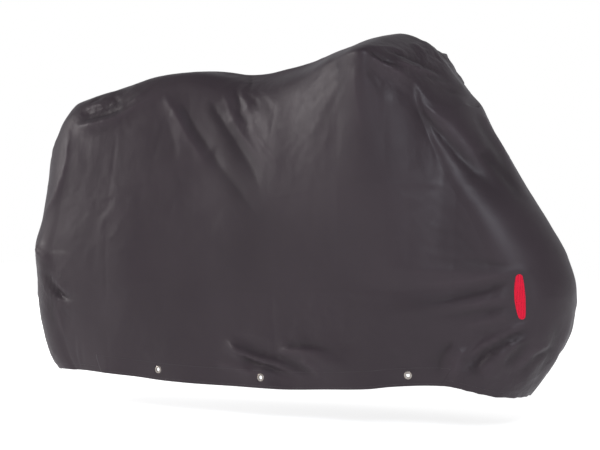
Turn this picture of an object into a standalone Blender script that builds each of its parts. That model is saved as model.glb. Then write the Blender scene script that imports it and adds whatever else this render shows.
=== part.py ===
"""A fitted bicycle cover as it hangs on a bicycle, without the bicycle.

Metres, +Z up. +X points to the bicycle's front wheel, -Y to its right side. The shape is worked out above
the ground that the wheels stand on, and an empty then carries it to the frame's origin, the point under
the cover's top where the middle of the handlebar bears. The cover is a hollow tent with an open bottom.
Its cloth is a stack of rings: the first one is the ridge line and the last one is the hem, and each runs
from the rear nose along the right side to the front nose, and back along the left side.
"""

import math

import bmesh
import bpy
import numpy as np
from mathutils import Matrix, Vector

# Cloth
CLOTH_THICKNESS = 0.0018
SEAM_GAP = 0.0003
HANDLEBAR_X = 0.40

# Levels of a rib, from 0 at the ridge to 1 at the hem, and the rings between them
CROWN, SHOULDER, WAIST, SKIRT = 0.10, 0.22, 0.48, 0.74
LEVELS = (0.0, CROWN, SHOULDER, WAIST, SKIRT, 1.0)
CROWN_RINGS = 6
WALL_RINGS = 14

# Rounded ends and columns of the rings
NOSE_STEPS = 5
NOSE_LEAST = 0.022
REAR_NOSE_RATIO = 0.80
FRONT_NOSE_RATIO = 0.95
SIDE_COLUMNS = 40
END_PULL = 4

# Hem strips, one along each side, with three eyelets each
STRIP_HEIGHT = 0.056
STRIP_REAR_X = -0.56
STRIP_FRONT_X = 0.62
EYELETS = {"rear": -0.335, "middle": 0.040, "front": 0.520}
EYELET_HEIGHT = 0.032
EYELET_HOLE_RADIUS = 0.00575
EYELET_BARREL_RADIUS = 0.0072
EYELET_FLANGE_RADIUS = 0.012
EYELET_SIDES = 18
PAD_RADIUS = 0.060
PAD_FADE = 0.040

# Red patch near the front edge of the right side
PATCH_HEIGHT = 0.130
PATCH_WIDTH = 0.031
PATCH_END_WIDTH = 0.017
PATCH_THICKNESS = 0.0010
PATCH_LOW, PATCH_HIGH = 0.31, 0.48
PATCH_TILT = math.radians(3.5)

# Ribs across the cover, one row for each place along it. Widths are half widths, drops are below the ridge.
RIB_COLUMNS = ("x", "ridge_z", "crown_y", "crown_drop", "shoulder_y", "shoulder_drop",
               "waist_y", "skirt_y", "hem_y", "hem_z")
RIBS = (
    (-0.80, 0.982, 0.050, 0.014, 0.085, 0.055, 0.130, 0.155, 0.140, 0.104),
    (-0.62, 1.025, 0.055, 0.012, 0.095, 0.050, 0.160, 0.190, 0.185, 0.113),
    (-0.45, 1.064, 0.055, 0.010, 0.090, 0.045, 0.165, 0.205, 0.215, 0.108),
    (-0.31, 1.077, 0.055, 0.008, 0.085, 0.035, 0.160, 0.205, 0.225, 0.101),
    (-0.10, 1.060, 0.050, 0.018, 0.105, 0.065, 0.180, 0.215, 0.232, 0.098),
    (0.10, 1.096, 0.070, 0.022, 0.150, 0.075, 0.205, 0.225, 0.235, 0.098),
    (0.27, 1.148, 0.120, 0.024, 0.230, 0.075, 0.245, 0.235, 0.235, 0.106),
    (0.40, 1.174, 0.160, 0.026, 0.300, 0.075, 0.270, 0.240, 0.235, 0.115),
    (0.47, 1.150, 0.140, 0.032, 0.250, 0.084, 0.255, 0.238, 0.228, 0.124),
    (0.62, 1.018, 0.060, 0.035, 0.120, 0.090, 0.185, 0.210, 0.200, 0.132),
    (0.83, 1.018, 0.060, 0.035, 0.110, 0.090, 0.145, 0.165, 0.150, 0.082),
)

# Both ends of the cover in its middle plane, one row for each height
END_COLUMNS = ("z", "rear_x", "front_x")
ENDS = (
    (0.08, -0.795, 0.808),
    (0.15, -0.855, 0.860),
    (0.22, -0.882, 0.902),
    (0.30, -0.903, 0.934),
    (0.40, -0.912, 0.947),
    (0.50, -0.927, 0.922),
    (0.60, -0.896, 0.865),
    (0.70, -0.872, 0.792),
    (0.80, -0.856, 0.731),
    (0.90, -0.832, 0.668),
    (0.98, -0.787, 0.629),
    (1.05, -0.750, 0.585),
)

# Main folds, one row each, as a bent line on a side and its half width. A ridge stands out, a trough goes in.
RIGHT, LEFT = -1, 1
FOLD_COLUMNS = ("name", "side", "x0", "z0", "x1", "z1", "x2", "z2", "width", "height")
FOLDS = (
    ("rear_cap_edge", RIGHT, -0.74, 0.900, -0.58, 0.930, -0.42, 1.040, 0.026, 0.012),
    ("rear_cap_hollow", RIGHT, -0.73, 0.940, -0.62, 0.960, -0.50, 1.010, 0.032, -0.014),
    ("rear_corner", RIGHT, -0.75, 0.905, -0.74, 0.750, -0.88, 0.540, 0.030, 0.015),
    ("rear_corner_hollow", RIGHT, -0.69, 0.880, -0.68, 0.740, -0.79, 0.560, 0.035, -0.009),
    ("rear_pleat", RIGHT, -0.88, 0.520, -0.83, 0.455, -0.80, 0.400, 0.026, 0.012),
    ("rear_nip", RIGHT, -0.82, 0.390, -0.76, 0.360, -0.70, 0.315, 0.022, -0.013),
    ("saddle_rear_ridge", RIGHT, -0.34, 1.000, -0.30, 0.830, -0.22, 0.680, 0.026, 0.012),
    ("saddle_rear_trough", RIGHT, -0.30, 0.980, -0.245, 0.820, -0.17, 0.680, 0.026, -0.012),
    ("saddle_nose_trough", RIGHT, -0.13, 1.020, -0.01, 0.830, 0.13, 0.580, 0.036, -0.018),
    ("saddle_nose_ridge", RIGHT, -0.06, 1.010, 0.07, 0.820, 0.20, 0.600, 0.036, 0.010),
    ("bar_trough_upper", RIGHT, 0.425, 1.095, 0.500, 1.045, 0.585, 1.015, 0.020, -0.012),
    ("bar_ridge", RIGHT, 0.450, 1.075, 0.525, 1.030, 0.590, 0.995, 0.020, 0.012),
    ("bar_trough_lower", RIGHT, 0.416, 1.070, 0.490, 1.005, 0.570, 0.965, 0.022, -0.013),
    ("front_diagonal", RIGHT, 0.555, 0.930, 0.665, 0.790, 0.810, 0.630, 0.030, -0.015),
    ("front_diagonal_edge", RIGHT, 0.600, 0.950, 0.705, 0.820, 0.830, 0.670, 0.030, 0.007),
    ("fan_upper", RIGHT, 0.820, 0.470, 0.630, 0.465, 0.400, 0.470, 0.030, 0.007),
    ("fan_middle", RIGHT, 0.820, 0.450, 0.620, 0.415, 0.300, 0.405, 0.028, -0.012),
    ("fan_lower", RIGHT, 0.820, 0.430, 0.650, 0.375, 0.430, 0.330, 0.028, 0.009),
    ("hook_trough", RIGHT, 0.880, 0.325, 0.725, 0.260, 0.700, 0.150, 0.026, -0.016),
    ("hook_ridge", RIGHT, 0.890, 0.290, 0.775, 0.220, 0.745, 0.120, 0.024, 0.014),
    ("hook_outer", RIGHT, 0.890, 0.245, 0.825, 0.190, 0.790, 0.120, 0.024, -0.010),
    ("low_trough", RIGHT, -0.110, 0.290, 0.090, 0.240, 0.290, 0.165, 0.028, -0.010),
    ("low_ridge", RIGHT, -0.130, 0.255, 0.060, 0.200, 0.260, 0.125, 0.028, 0.013),
    ("low_swell", RIGHT, 0.060, 0.290, 0.220, 0.270, 0.400, 0.185, 0.032, 0.010),
    ("saddle_left_trough", LEFT, -0.34, 1.000, -0.33, 0.780, -0.40, 0.560, 0.040, -0.014),
    ("saddle_left_ridge", LEFT, -0.25, 1.000, -0.22, 0.780, -0.28, 0.560, 0.040, 0.012),
    ("middle_left_trough", LEFT, -0.10, 1.000, 0.04, 0.780, 0.16, 0.520, 0.042, -0.016),
    ("bar_left_ridge", LEFT, 0.400, 1.080, 0.360, 0.850, 0.300, 0.600, 0.042, 0.010),
    ("front_left_trough", LEFT, 0.500, 1.000, 0.640, 0.780, 0.820, 0.560, 0.036, -0.014),
    ("wheel_left_ridge", LEFT, 0.820, 0.460, 0.560, 0.400, 0.280, 0.420, 0.040, 0.012),
    ("rear_left_trough", LEFT, -0.86, 0.480, -0.640, 0.420, -0.400, 0.430, 0.040, -0.012),
    ("low_left_ridge", LEFT, -0.300, 0.300, 0.000, 0.230, 0.260, 0.140, 0.036, 0.012),
)

# The hem swings in and out a little between its wheels
HEM_WAVE_LENGTH = 0.31
HEM_WAVE_HEIGHT = 0.006
HEM_WAVE_REACH = 0.22

COLOURS = {
    "cloth": ((0.085, 0.074, 0.085, 1.0), 0.55, 0.0),
    "strip": ((0.078, 0.070, 0.082, 1.0), 0.55, 0.0),
    "eyelet": ((0.62, 0.58, 0.53, 1.0), 0.32, 1.0),
    "patch": ((0.70, 0.012, 0.045, 1.0), 0.35, 0.0),
}


def clear_scene():
    for thing in list(bpy.data.objects):
        bpy.data.objects.remove(thing, do_unlink=True)


def material(name):
    colour, roughness, metallic = COLOURS[name]
    made = bpy.data.materials.new(name)
    made.use_nodes = True
    shader = made.node_tree.nodes["Principled BSDF"]
    shader.inputs["Base Color"].default_value = colour
    shader.inputs["Roughness"].default_value = roughness
    shader.inputs["Metallic"].default_value = metallic
    made.diffuse_color = colour
    return made


def smooth_curve(knots, values, at):
    """A monotone cubic through the knots, held level past both ends."""
    knots, values = np.asarray(knots, float), np.asarray(values, float)
    at = np.clip(at, knots[0], knots[-1])
    steps = np.diff(knots)
    slopes = np.diff(values) / steps
    tangents = np.zeros_like(values)
    tangents[0], tangents[-1] = slopes[0], slopes[-1]
    for knot in range(1, len(knots) - 1):
        low, high = slopes[knot - 1], slopes[knot]
        if low * high > 0:
            before, after = steps[knot - 1], steps[knot]
            weights = (2 * after + before) / low + (after + 2 * before) / high
            tangents[knot] = 3 * (before + after) / weights
    cell = np.clip(np.searchsorted(knots, at, side="right") - 1, 0, len(steps) - 1)
    part = (at - knots[cell]) / steps[cell]
    rest = 1 - part
    return (
        (1 + 2 * part) * rest**2 * values[cell]
        + part * rest**2 * steps[cell] * tangents[cell]
        + part**2 * (3 - 2 * part) * values[cell + 1]
        - part**2 * rest * steps[cell] * tangents[cell + 1]
    )


def column(table, names, name):
    return np.array([row[names.index(name)] for row in table], float)


def rib_value(name, x):
    return smooth_curve(column(RIBS, RIB_COLUMNS, "x"), column(RIBS, RIB_COLUMNS, name), x)


def rib_width(x, level):
    """Half width of the rib at x, at a level."""
    names = ("crown_y", "shoulder_y", "waist_y", "skirt_y", "hem_y")
    return smooth_curve(LEVELS, [0.0] + [rib_value(name, x) for name in names], level)


def rib_height(x, level):
    """Height of the rib at x, at a level: it falls evenly from the shoulder to the hem."""
    ridge, hem = rib_value("ridge_z", x), rib_value("hem_z", x)
    shoulder = ridge - rib_value("shoulder_drop", x)
    heights = [ridge, ridge - rib_value("crown_drop", x)]
    heights += [shoulder + (hem - shoulder) * (at - SHOULDER) / (1 - SHOULDER) for at in LEVELS[2:]]
    return smooth_curve(LEVELS, heights, level)


def level_above_hem(x, height):
    """The level that lies this high above the hem of the rib at x."""
    shoulder = rib_value("ridge_z", x) - rib_value("shoulder_drop", x)
    return 1 - height * (1 - SHOULDER) / (shoulder - rib_value("hem_z", x))


def end_x(name, height):
    return smooth_curve(column(ENDS, END_COLUMNS, "z"), column(ENDS, END_COLUMNS, name), height)


def ring_ends(level):
    """x of the rear tip, both ends of the side's straight part and the front tip of the ring at a level."""
    rear_rib, front_rib = RIBS[0][0], RIBS[-1][0]
    rear = end_x("rear_x", rib_height(rear_rib, level))
    front = end_x("front_x", rib_height(front_rib, level))
    rear_nose = NOSE_LEAST + REAR_NOSE_RATIO * rib_width(rear_rib, level)
    front_nose = NOSE_LEAST + FRONT_NOSE_RATIO * rib_width(front_rib, level)
    return rear, rear + rear_nose, front - front_nose, front


def half_ring(level, above_hem=None):
    """Points (x, half width, height) of one side of a ring, from the rear tip to the front one.

    With above_hem, the ring keeps that height over the hem instead of one level.
    """
    if above_hem is not None:
        level = float(level_above_hem(0.0, above_hem))
    rear, start, end, front = ring_ends(level)
    _, hem_start, hem_end, _ = ring_ends(1.0)
    turns = np.linspace(0, math.pi / 2, NOSE_STEPS + 1)[:-1]
    share = np.linspace(0, 1, SIDE_COLUMNS + 1)
    side = hem_start + (hem_end - hem_start) * share
    side += (start - hem_start) * (1 - share) ** END_PULL + (end - hem_end) * share**END_PULL
    rear_nose = rear + (start - rear) * (1 - np.cos(turns))
    front_nose = front - (front - end) * (1 - np.cos(turns))
    places = np.concatenate([rear_nose, side, front_nose[::-1]])
    rounding = np.concatenate([np.sin(turns), np.ones_like(side), np.sin(turns)[::-1]])
    points = []
    for x, part in zip(places, rounding):
        at = level if above_hem is None else level_above_hem(x, above_hem)
        width = rib_width(np.clip(x, start, end), at) * part
        points.append((x, width, rib_height(x, at)))
    return np.array(points)


def base_rings():
    """Rings of the smooth cover, as an array of ring, column and coordinate."""
    crown = np.linspace(0, SHOULDER, CROWN_RINGS + 1)[:-1]
    lowest = float(level_above_hem(0.0, STRIP_HEIGHT))
    wall = np.linspace(SHOULDER, lowest, WALL_RINGS + 1)[:-1]
    halves = [half_ring(level) for level in np.concatenate([crown, wall])]
    halves += [half_ring(None, above) for above in (STRIP_HEIGHT, STRIP_HEIGHT / 2, 0.0)]
    rings = []
    for half in halves:
        rings.append(np.concatenate([half * (1, RIGHT, 1), half[-2:0:-1]]))
    return np.array(rings)


def outward_normals(rings):
    """Unit normals of the rings' points, pointing out of the cover."""
    along = np.roll(rings, -1, axis=1) - np.roll(rings, 1, axis=1)
    down = np.gradient(rings, axis=0)
    normals = np.cross(down, along)
    # On the ridge, both sides share their points
    count = rings.shape[1]
    mirror = (-np.arange(count)) % count
    normals[0] = normals[1] + normals[1][mirror]
    return normals / np.linalg.norm(normals, axis=2, keepdims=True)


def fold_height(fold, x, z):
    """How far one fold moves the points (x, z) of its side outwards."""
    row = dict(zip(FOLD_COLUMNS, fold))
    stops = np.array([(row["x0"], row["z0"]), (row["x1"], row["z1"]), (row["x2"], row["z2"])])
    nearest = np.full(x.shape, np.inf)
    share = np.zeros(x.shape)
    for piece in (0, 1):
        start, run = stops[piece], stops[piece + 1] - stops[piece]
        part = np.clip(((x - start[0]) * run[0] + (z - start[1]) * run[1]) / (run @ run), 0, 1)
        apart = np.hypot(x - start[0] - part * run[0], z - start[1] - part * run[1])
        closer = apart < nearest
        nearest = np.where(closer, apart, nearest)
        share = np.where(closer, (piece + part) / 2, share)
    taper = np.sqrt(np.sin(math.pi * (0.08 + 0.84 * share)))
    return row["height"] * taper * np.exp(-((nearest / row["width"]) ** 2))


def hem_wave(x, above):
    fade = np.clip(1 - above / HEM_WAVE_REACH, 0, 1) ** 2
    return HEM_WAVE_HEIGHT * np.sin(2 * math.pi * x / HEM_WAVE_LENGTH) * fade


def folded_rings():
    """Rings of the cover with its main folds."""
    rings = base_rings()
    x, y, z = rings[..., 0], rings[..., 1], rings[..., 2]
    height = hem_wave(x, z - rib_value("hem_z", x))
    for fold in FOLDS:
        side = fold[FOLD_COLUMNS.index("side")]
        height += np.where(y * side > 0, fold_height(fold, x, z), 0)
    height[0] = 0
    return rings + outward_normals(rings) * height[..., None]


def flatten(rings, chosen, weight):
    """Moves the chosen points onto their mean plane. Returns its centre and outward normal."""
    points = rings[chosen]
    centre = points.mean(axis=0)
    normal = np.linalg.svd(points - centre)[2][-1]
    if normal[1] * centre[1] < 0:
        normal = -normal
    rings += ((centre - rings) @ normal * weight)[..., None] * normal
    return centre, normal


def eyelet_seat(rings, x, side):
    """Flattens the cloth round one eyelet. Returns the eyelet's centre and outward normal."""
    z = float(rib_value("hem_z", x)) + EYELET_HEIGHT
    apart = np.hypot(rings[..., 0] - x, rings[..., 2] - z)
    apart[rings[..., 1] * side < 0] = np.inf
    weight = np.clip((PAD_RADIUS + PAD_FADE - apart) / PAD_FADE, 0, 1)
    centre, normal = flatten(rings, apart <= PAD_RADIUS, weight)
    y = centre[1] - ((x - centre[0]) * normal[0] + (z - centre[2]) * normal[2]) / normal[1]
    return np.array((x, y, z)), normal


def patch_seat(rings):
    """Flattens the cells under the red patch. Returns the patch's centre, outward normal and upward axis."""
    front = NOSE_STEPS + SIDE_COLUMNS
    pair = (front + 1, front + 2)
    chosen = np.zeros(rings.shape[:2], bool)
    for col in pair:
        heights = rings[:, col, 2]
        chosen[:, col] = (heights > PATCH_LOW - 0.03) & (heights < PATCH_HIGH + 0.03)
    _, normal = flatten(rings, chosen, chosen.astype(float))
    centre = rings[chosen].mean(axis=0)
    up = np.array((0, 0, 1)) - normal * normal[2]
    up /= np.linalg.norm(up)
    middle = (PATCH_LOW + PATCH_HIGH) / 2
    return centre + up * (middle - centre[2]) / up[2], normal, up


def piece(name, look, mesh, parent):
    made = bpy.data.objects.new(name, mesh)
    mesh.materials.append(look)
    bpy.context.scene.collection.objects.link(made)
    made.parent = parent
    return made


def shell_mesh(name, outer, inner, quads):
    """A closed mesh: the quads on the outer points, their copies on the inner ones, and the rims between."""
    sheet = bmesh.new()
    verts = {}
    for quad in quads:
        for point in quad:
            if point not in verts:
                verts[point] = (sheet.verts.new(outer[point]), sheet.verts.new(inner[point]))
    rims = {}
    for quad in quads:
        corners = list(dict.fromkeys(quad))
        sheet.faces.new([verts[corner][0] for corner in corners])
        sheet.faces.new([verts[corner][1] for corner in reversed(corners)])
        for start, end in zip(corners, corners[1:] + corners[:1]):
            if (end, start) in rims:
                del rims[(end, start)]
            else:
                rims[(start, end)] = True
    for start, end in rims:
        sheet.faces.new([verts[end][0], verts[start][0], verts[start][1], verts[end][1]])
    mesh = bpy.data.meshes.new(name)
    sheet.to_mesh(mesh)
    sheet.free()
    mesh.shade_smooth()
    mesh.set_sharp_from_angle(angle=math.radians(40))
    return mesh


def ring_quads(shape, wanted):
    """Quads (as point names) of the cells of a stack of rings for which wanted(ring, column) is true."""
    rings, count = shape
    quads = []
    for ring in range(rings - 1):
        for col in range(count):
            if wanted(ring, col):
                after = (col + 1) % count
                corners = [(ring, after), (ring, col), (ring + 1, col), (ring + 1, after)]
                quads.append([ridge_name(corner, count) for corner in corners])
    return quads


def ridge_name(point, count):
    """Both sides share the points of the first ring."""
    ring, col = point
    return (ring, min(col, (-col) % count)) if ring == 0 else point


def strip_columns(rings, side):
    """First and last column of the hem strip on a side."""
    count = rings.shape[1]
    hem = rings[-1]
    own = [col for col in range(count) if hem[col, 1] * side > 0]
    rear = min(own, key=lambda col: abs(hem[col, 0] - STRIP_REAR_X))
    front = min(own, key=lambda col: abs(hem[col, 0] - STRIP_FRONT_X))
    return min(rear, front), max(rear, front)


def towards(start, end, distance):
    run = end - start
    return start + run * distance / np.linalg.norm(run)


def drawn_in(points, rings, first, last):
    """The points with the strip's upper edge and both its ends drawn in by the seam's gap."""
    moved = points.copy()
    top = len(rings) - 3
    for col in range(first, last + 1):
        moved[top, col] = towards(points[top, col], points[top + 1, col], SEAM_GAP)
    for ring in range(top, len(rings)):
        moved[ring, first] = towards(moved[ring, first], moved[ring, first + 1], SEAM_GAP)
        moved[ring, last] = towards(moved[ring, last], moved[ring, last - 1], SEAM_GAP)
    return moved


def seat_matrix(centre, normal, up=(0, 0, 1)):
    """Local Z along the normal, and local Y as near to upright as that allows."""
    z_axis = Vector(normal).normalized()
    y_axis = Vector(up)
    x_axis = y_axis.cross(z_axis).normalized()
    y_axis = z_axis.cross(x_axis)
    turn = Matrix((x_axis, y_axis, z_axis)).transposed().to_4x4()
    return Matrix.Translation(Vector(centre)) @ turn


def eyelet_mesh():
    """An eyelet turned about local Z, with local Z = 0 on the cloth's outer face."""
    above, below = SEAM_GAP, -CLOTH_THICKNESS - SEAM_GAP
    profile = (
        (EYELET_BARREL_RADIUS, above),
        (EYELET_FLANGE_RADIUS - 0.0004, above),
        (EYELET_FLANGE_RADIUS, above + 0.0005),
        (EYELET_FLANGE_RADIUS - 0.0012, above + 0.0010),
        (EYELET_BARREL_RADIUS, above + 0.0010),
        (EYELET_HOLE_RADIUS, above + 0.0002),
        (EYELET_HOLE_RADIUS, below - 0.0004),
        (EYELET_BARREL_RADIUS, below - 0.0008),
        (EYELET_FLANGE_RADIUS - 0.0010, below - 0.0008),
        (EYELET_FLANGE_RADIUS - 0.0008, below),
        (EYELET_BARREL_RADIUS, below),
    )
    ring = bmesh.new()
    verts = [ring.verts.new((radius, 0, height)) for radius, height in profile]
    edges = [ring.edges.new(pair) for pair in zip(verts, verts[1:] + verts[:1])]
    bmesh.ops.spin(ring, geom=verts + edges, cent=(0, 0, 0), axis=(0, 0, 1), angle=math.tau, steps=EYELET_SIDES)
    bmesh.ops.remove_doubles(ring, verts=ring.verts, dist=0.00001)
    bmesh.ops.recalc_face_normals(ring, faces=ring.faces)
    mesh = bpy.data.meshes.new("eyelet")
    ring.to_mesh(mesh)
    ring.free()
    mesh.shade_smooth()
    mesh.set_sharp_from_angle(angle=math.radians(30))
    return mesh


def patch_mesh():
    """The patch in its own plane: straight towards the front edge, bulging towards the rear, ends rounded."""
    steps = 12
    heights = np.linspace(-1, 1, steps + 1)
    rounding = np.clip((1 - np.abs(heights)) * PATCH_HEIGHT / PATCH_END_WIDTH, 0, 1)
    rounding = np.sqrt(1 - (1 - rounding) ** 2)
    rounding[0] = rounding[-1] = 0.45
    bulge = (PATCH_WIDTH - PATCH_END_WIDTH) * (1 - heights**2)
    front = PATCH_END_WIDTH / 2 * rounding
    rear = -(PATCH_END_WIDTH / 2 + bulge) * rounding
    outline = list(zip(front, heights * PATCH_HEIGHT / 2)) + list(zip(rear, heights * PATCH_HEIGHT / 2))[::-1]
    shift = (PATCH_WIDTH - PATCH_END_WIDTH) / 2
    plate = bmesh.new()
    face = plate.faces.new([plate.verts.new((x + shift, y, SEAM_GAP)) for x, y in outline])
    grown = bmesh.ops.extrude_face_region(plate, geom=[face])["geom"]
    for vert in grown:
        if isinstance(vert, bmesh.types.BMVert):
            vert.co.z += PATCH_THICKNESS
    bmesh.ops.recalc_face_normals(plate, faces=plate.faces)
    mesh = bpy.data.meshes.new("reflector_patch")
    plate.to_mesh(mesh)
    plate.free()
    return mesh


def hole_cutter(name, matrix, parent):
    """A hidden cylinder through the cloth at an eyelet's seat."""
    radius = (EYELET_BARREL_RADIUS + SEAM_GAP) / math.cos(math.pi / EYELET_SIDES)
    tool = bmesh.new()
    bmesh.ops.create_cone(tool, cap_ends=True, segments=EYELET_SIDES, radius1=radius, radius2=radius, depth=0.02)
    mesh = bpy.data.meshes.new(name)
    tool.to_mesh(mesh)
    tool.free()
    cutter = bpy.data.objects.new(name, mesh)
    bpy.context.scene.collection.objects.link(cutter)
    cutter.parent = parent
    cutter.matrix_local = matrix
    cutter.hide_render = True
    cutter.display_type = "WIRE"
    return cutter


def build_cover_cloth(rings, inner, looks, frame):
    """The whole cloth but for the two strips."""
    strips = [strip_columns(rings, side) for side in (RIGHT, LEFT)]
    top = len(rings) - 3

    def wanted(ring, col):
        return ring < top or not any(first <= col < last for first, last in strips)

    quads = ring_quads(rings.shape[:2], wanted)
    return piece("cover_cloth", looks["cloth"], shell_mesh("cover_cloth", rings, inner, quads), frame)


def build_side(rings, inner, side, word, seats, looks, frame):
    """A hem strip with its holes, and the eyelets in them."""
    first, last = strip_columns(rings, side)
    top = len(rings) - 3
    outer_points = drawn_in(rings, rings, first, last)
    inner_points = drawn_in(inner, rings, first, last)
    quads = ring_quads(rings.shape[:2], lambda ring, col: ring >= top and first <= col < last)
    name = f"hem_strip_{word}"
    strip = piece(name, looks["strip"], shell_mesh(name, outer_points, inner_points, quads), frame)
    for place, (centre, normal) in seats.items():
        matrix = seat_matrix(centre, normal)
        cut = strip.modifiers.new(f"hole_{place}", "BOOLEAN")
        cut.operation = "DIFFERENCE"
        cut.object = hole_cutter(f"cutter_{word}_{place}", matrix, frame)
        eyelet = piece(f"eyelet_{word}_{place}", looks["eyelet"], eyelet_mesh(), frame)
        eyelet.matrix_local = matrix


def build():
    clear_scene()
    looks = {name: material(name) for name in COLOURS}
    rings = folded_rings()
    seats = {}
    for side, word in ((RIGHT, "right"), (LEFT, "left")):
        seats[word] = {place: eyelet_seat(rings, x, side) for place, x in EYELETS.items()}
    centre, normal, up = patch_seat(rings)
    inner = rings - outward_normals(rings) * CLOTH_THICKNESS

    frame = bpy.data.objects.new("cover_frame", None)
    bpy.context.scene.collection.objects.link(frame)
    frame.location = (-HANDLEBAR_X, 0, CLOTH_THICKNESS - float(rib_value("ridge_z", HANDLEBAR_X)))

    build_cover_cloth(rings, inner, looks, frame)
    build_side(rings, inner, RIGHT, "right", seats["right"], looks, frame)
    build_side(rings, inner, LEFT, "left", seats["left"], looks, frame)
    patch = piece("reflector_patch", looks["patch"], patch_mesh(), frame)
    patch.matrix_local = seat_matrix(centre, normal, up) @ Matrix.Rotation(PATCH_TILT, 4, "Z")


build()
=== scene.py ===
# %% [markdown]
# # A fitted bicycle cover, draped
#
# The cover is a light tent of coated polyester that is drawn over a bicycle. It hangs from the handlebar,
# the saddle and the rack, and its hem stops about ten centimetres above the ground. This lesson dresses the
# plain solids of the cover: it makes the cloth again with all its folds, and adds the sewn hem, the metal
# eyelets and the red reflector. The first cell loads the solids, which give every piece its place and its
# size.

import math

import bpy
import numpy as np
from mathutils import Matrix, Vector, kdtree


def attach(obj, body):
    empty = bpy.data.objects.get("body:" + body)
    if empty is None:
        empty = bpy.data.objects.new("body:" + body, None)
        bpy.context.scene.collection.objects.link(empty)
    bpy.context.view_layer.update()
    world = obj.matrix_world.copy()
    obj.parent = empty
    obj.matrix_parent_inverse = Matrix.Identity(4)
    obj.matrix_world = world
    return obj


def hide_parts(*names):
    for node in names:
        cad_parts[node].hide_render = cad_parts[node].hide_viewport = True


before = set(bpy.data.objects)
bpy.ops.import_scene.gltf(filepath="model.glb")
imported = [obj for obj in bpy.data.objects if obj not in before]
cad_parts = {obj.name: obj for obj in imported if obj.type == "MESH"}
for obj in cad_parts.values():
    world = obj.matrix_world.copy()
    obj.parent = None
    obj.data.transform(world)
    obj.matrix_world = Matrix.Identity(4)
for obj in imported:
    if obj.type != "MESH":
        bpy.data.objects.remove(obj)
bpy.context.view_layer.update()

# %% [markdown]
# ## Heights and lengths
#
# It is easiest to think about the cover above the ground that the wheels stand on, with X = 0 midway
# between the wheels, X to the front and -Y to the right side. The solids are kept in another place: their
# zero lies under the cover's top, where the middle of the handlebar bears. One shift carries every piece
# over at the end.

# %% From the ground to the solids' own zero
CLOTH_THICKNESS = 0.0018
HANDLEBAR_X = 0.40
TOP_HEIGHT = 1.174
TO_SOLIDS = np.array((-HANDLEBAR_X, 0.0, CLOTH_THICKNESS - TOP_HEIGHT))
FLOOR_HEIGHT = TO_SOLIDS[2]
RIGHT, LEFT, TOP, REAR, FRONT = "right", "left", "top", "rear", "front"
SIDES = (RIGHT, LEFT)
print("floor at", round(float(FLOOR_HEIGHT), 4))

# %% [markdown]
# ## Camera
#
# The camera stands far away with a long lens, a little above the middle of the cover, and looks at the
# cover's right side from slightly in front. A long lens keeps both ends of a long object at nearly the same
# scale. The camera comes first, so that each later step can be judged in the view that matters most.

# %% Camera
def add_to_scene(name, data):
    made = bpy.data.objects.new(name, data)
    bpy.context.scene.collection.objects.link(made)
    return made


camera_data = bpy.data.cameras.new("camera")
camera_data.lens = 108.6
camera_data.sensor_width = 36.0
camera_data.clip_end = 60.0
camera = add_to_scene("camera", camera_data)
camera.location = (2.2728, -5.0347, -0.4172)
camera.rotation_euler = (math.radians(88.3), 0.0, math.radians(27.5))
bpy.context.scene.camera = camera
print("camera", tuple(round(value, 3) for value in camera.location), camera_data.lens, "mm")

# %% [markdown]
# ## Shape of the tent
#
# A cover like this is two big side panels of cloth over a row of supports, so its shape is given by ribs
# across it. Each row of the table is one rib: where it stands, how high its ridge is, how wide it is at
# five levels, and how high its hem hangs. Smooth curves through the table fill the space between the ribs.

# %% Tables of the ribs and ends
LEVELS = (0.0, 0.10, 0.22, 0.48, 0.74, 1.0)
SHOULDER = 0.22
RIB_COLUMNS = ("x", "ridge_z", "crown_y", "crown_drop", "shoulder_y", "shoulder_drop",
               "waist_y", "skirt_y", "hem_y", "hem_z")
RIBS = (
    (-0.80, 0.982, 0.050, 0.014, 0.085, 0.055, 0.130, 0.155, 0.140, 0.104),
    (-0.62, 1.025, 0.055, 0.012, 0.095, 0.050, 0.160, 0.190, 0.185, 0.113),
    (-0.45, 1.064, 0.055, 0.010, 0.090, 0.045, 0.165, 0.205, 0.215, 0.108),
    (-0.31, 1.077, 0.055, 0.008, 0.085, 0.035, 0.160, 0.205, 0.225, 0.101),
    (-0.10, 1.060, 0.050, 0.018, 0.105, 0.065, 0.180, 0.215, 0.232, 0.098),
    (0.10, 1.096, 0.070, 0.022, 0.150, 0.075, 0.205, 0.225, 0.235, 0.098),
    (0.27, 1.148, 0.120, 0.024, 0.230, 0.075, 0.245, 0.235, 0.235, 0.106),
    (0.40, 1.174, 0.160, 0.026, 0.300, 0.075, 0.270, 0.240, 0.235, 0.115),
    (0.47, 1.150, 0.140, 0.032, 0.250, 0.084, 0.255, 0.238, 0.228, 0.124),
    (0.62, 1.018, 0.060, 0.035, 0.120, 0.090, 0.185, 0.210, 0.200, 0.132),
    (0.83, 1.018, 0.060, 0.035, 0.110, 0.090, 0.145, 0.165, 0.150, 0.082),
)
END_COLUMNS = ("z", "rear_x", "front_x")
ENDS = (
    (0.08, -0.795, 0.808),
    (0.15, -0.855, 0.860),
    (0.22, -0.882, 0.902),
    (0.30, -0.903, 0.934),
    (0.40, -0.912, 0.947),
    (0.50, -0.927, 0.922),
    (0.60, -0.896, 0.865),
    (0.70, -0.872, 0.792),
    (0.80, -0.856, 0.731),
    (0.90, -0.832, 0.668),
    (0.98, -0.787, 0.629),
    (1.05, -0.750, 0.585),
)
print("ribs:", len(RIBS), "heights of the ends:", len(ENDS))


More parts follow.
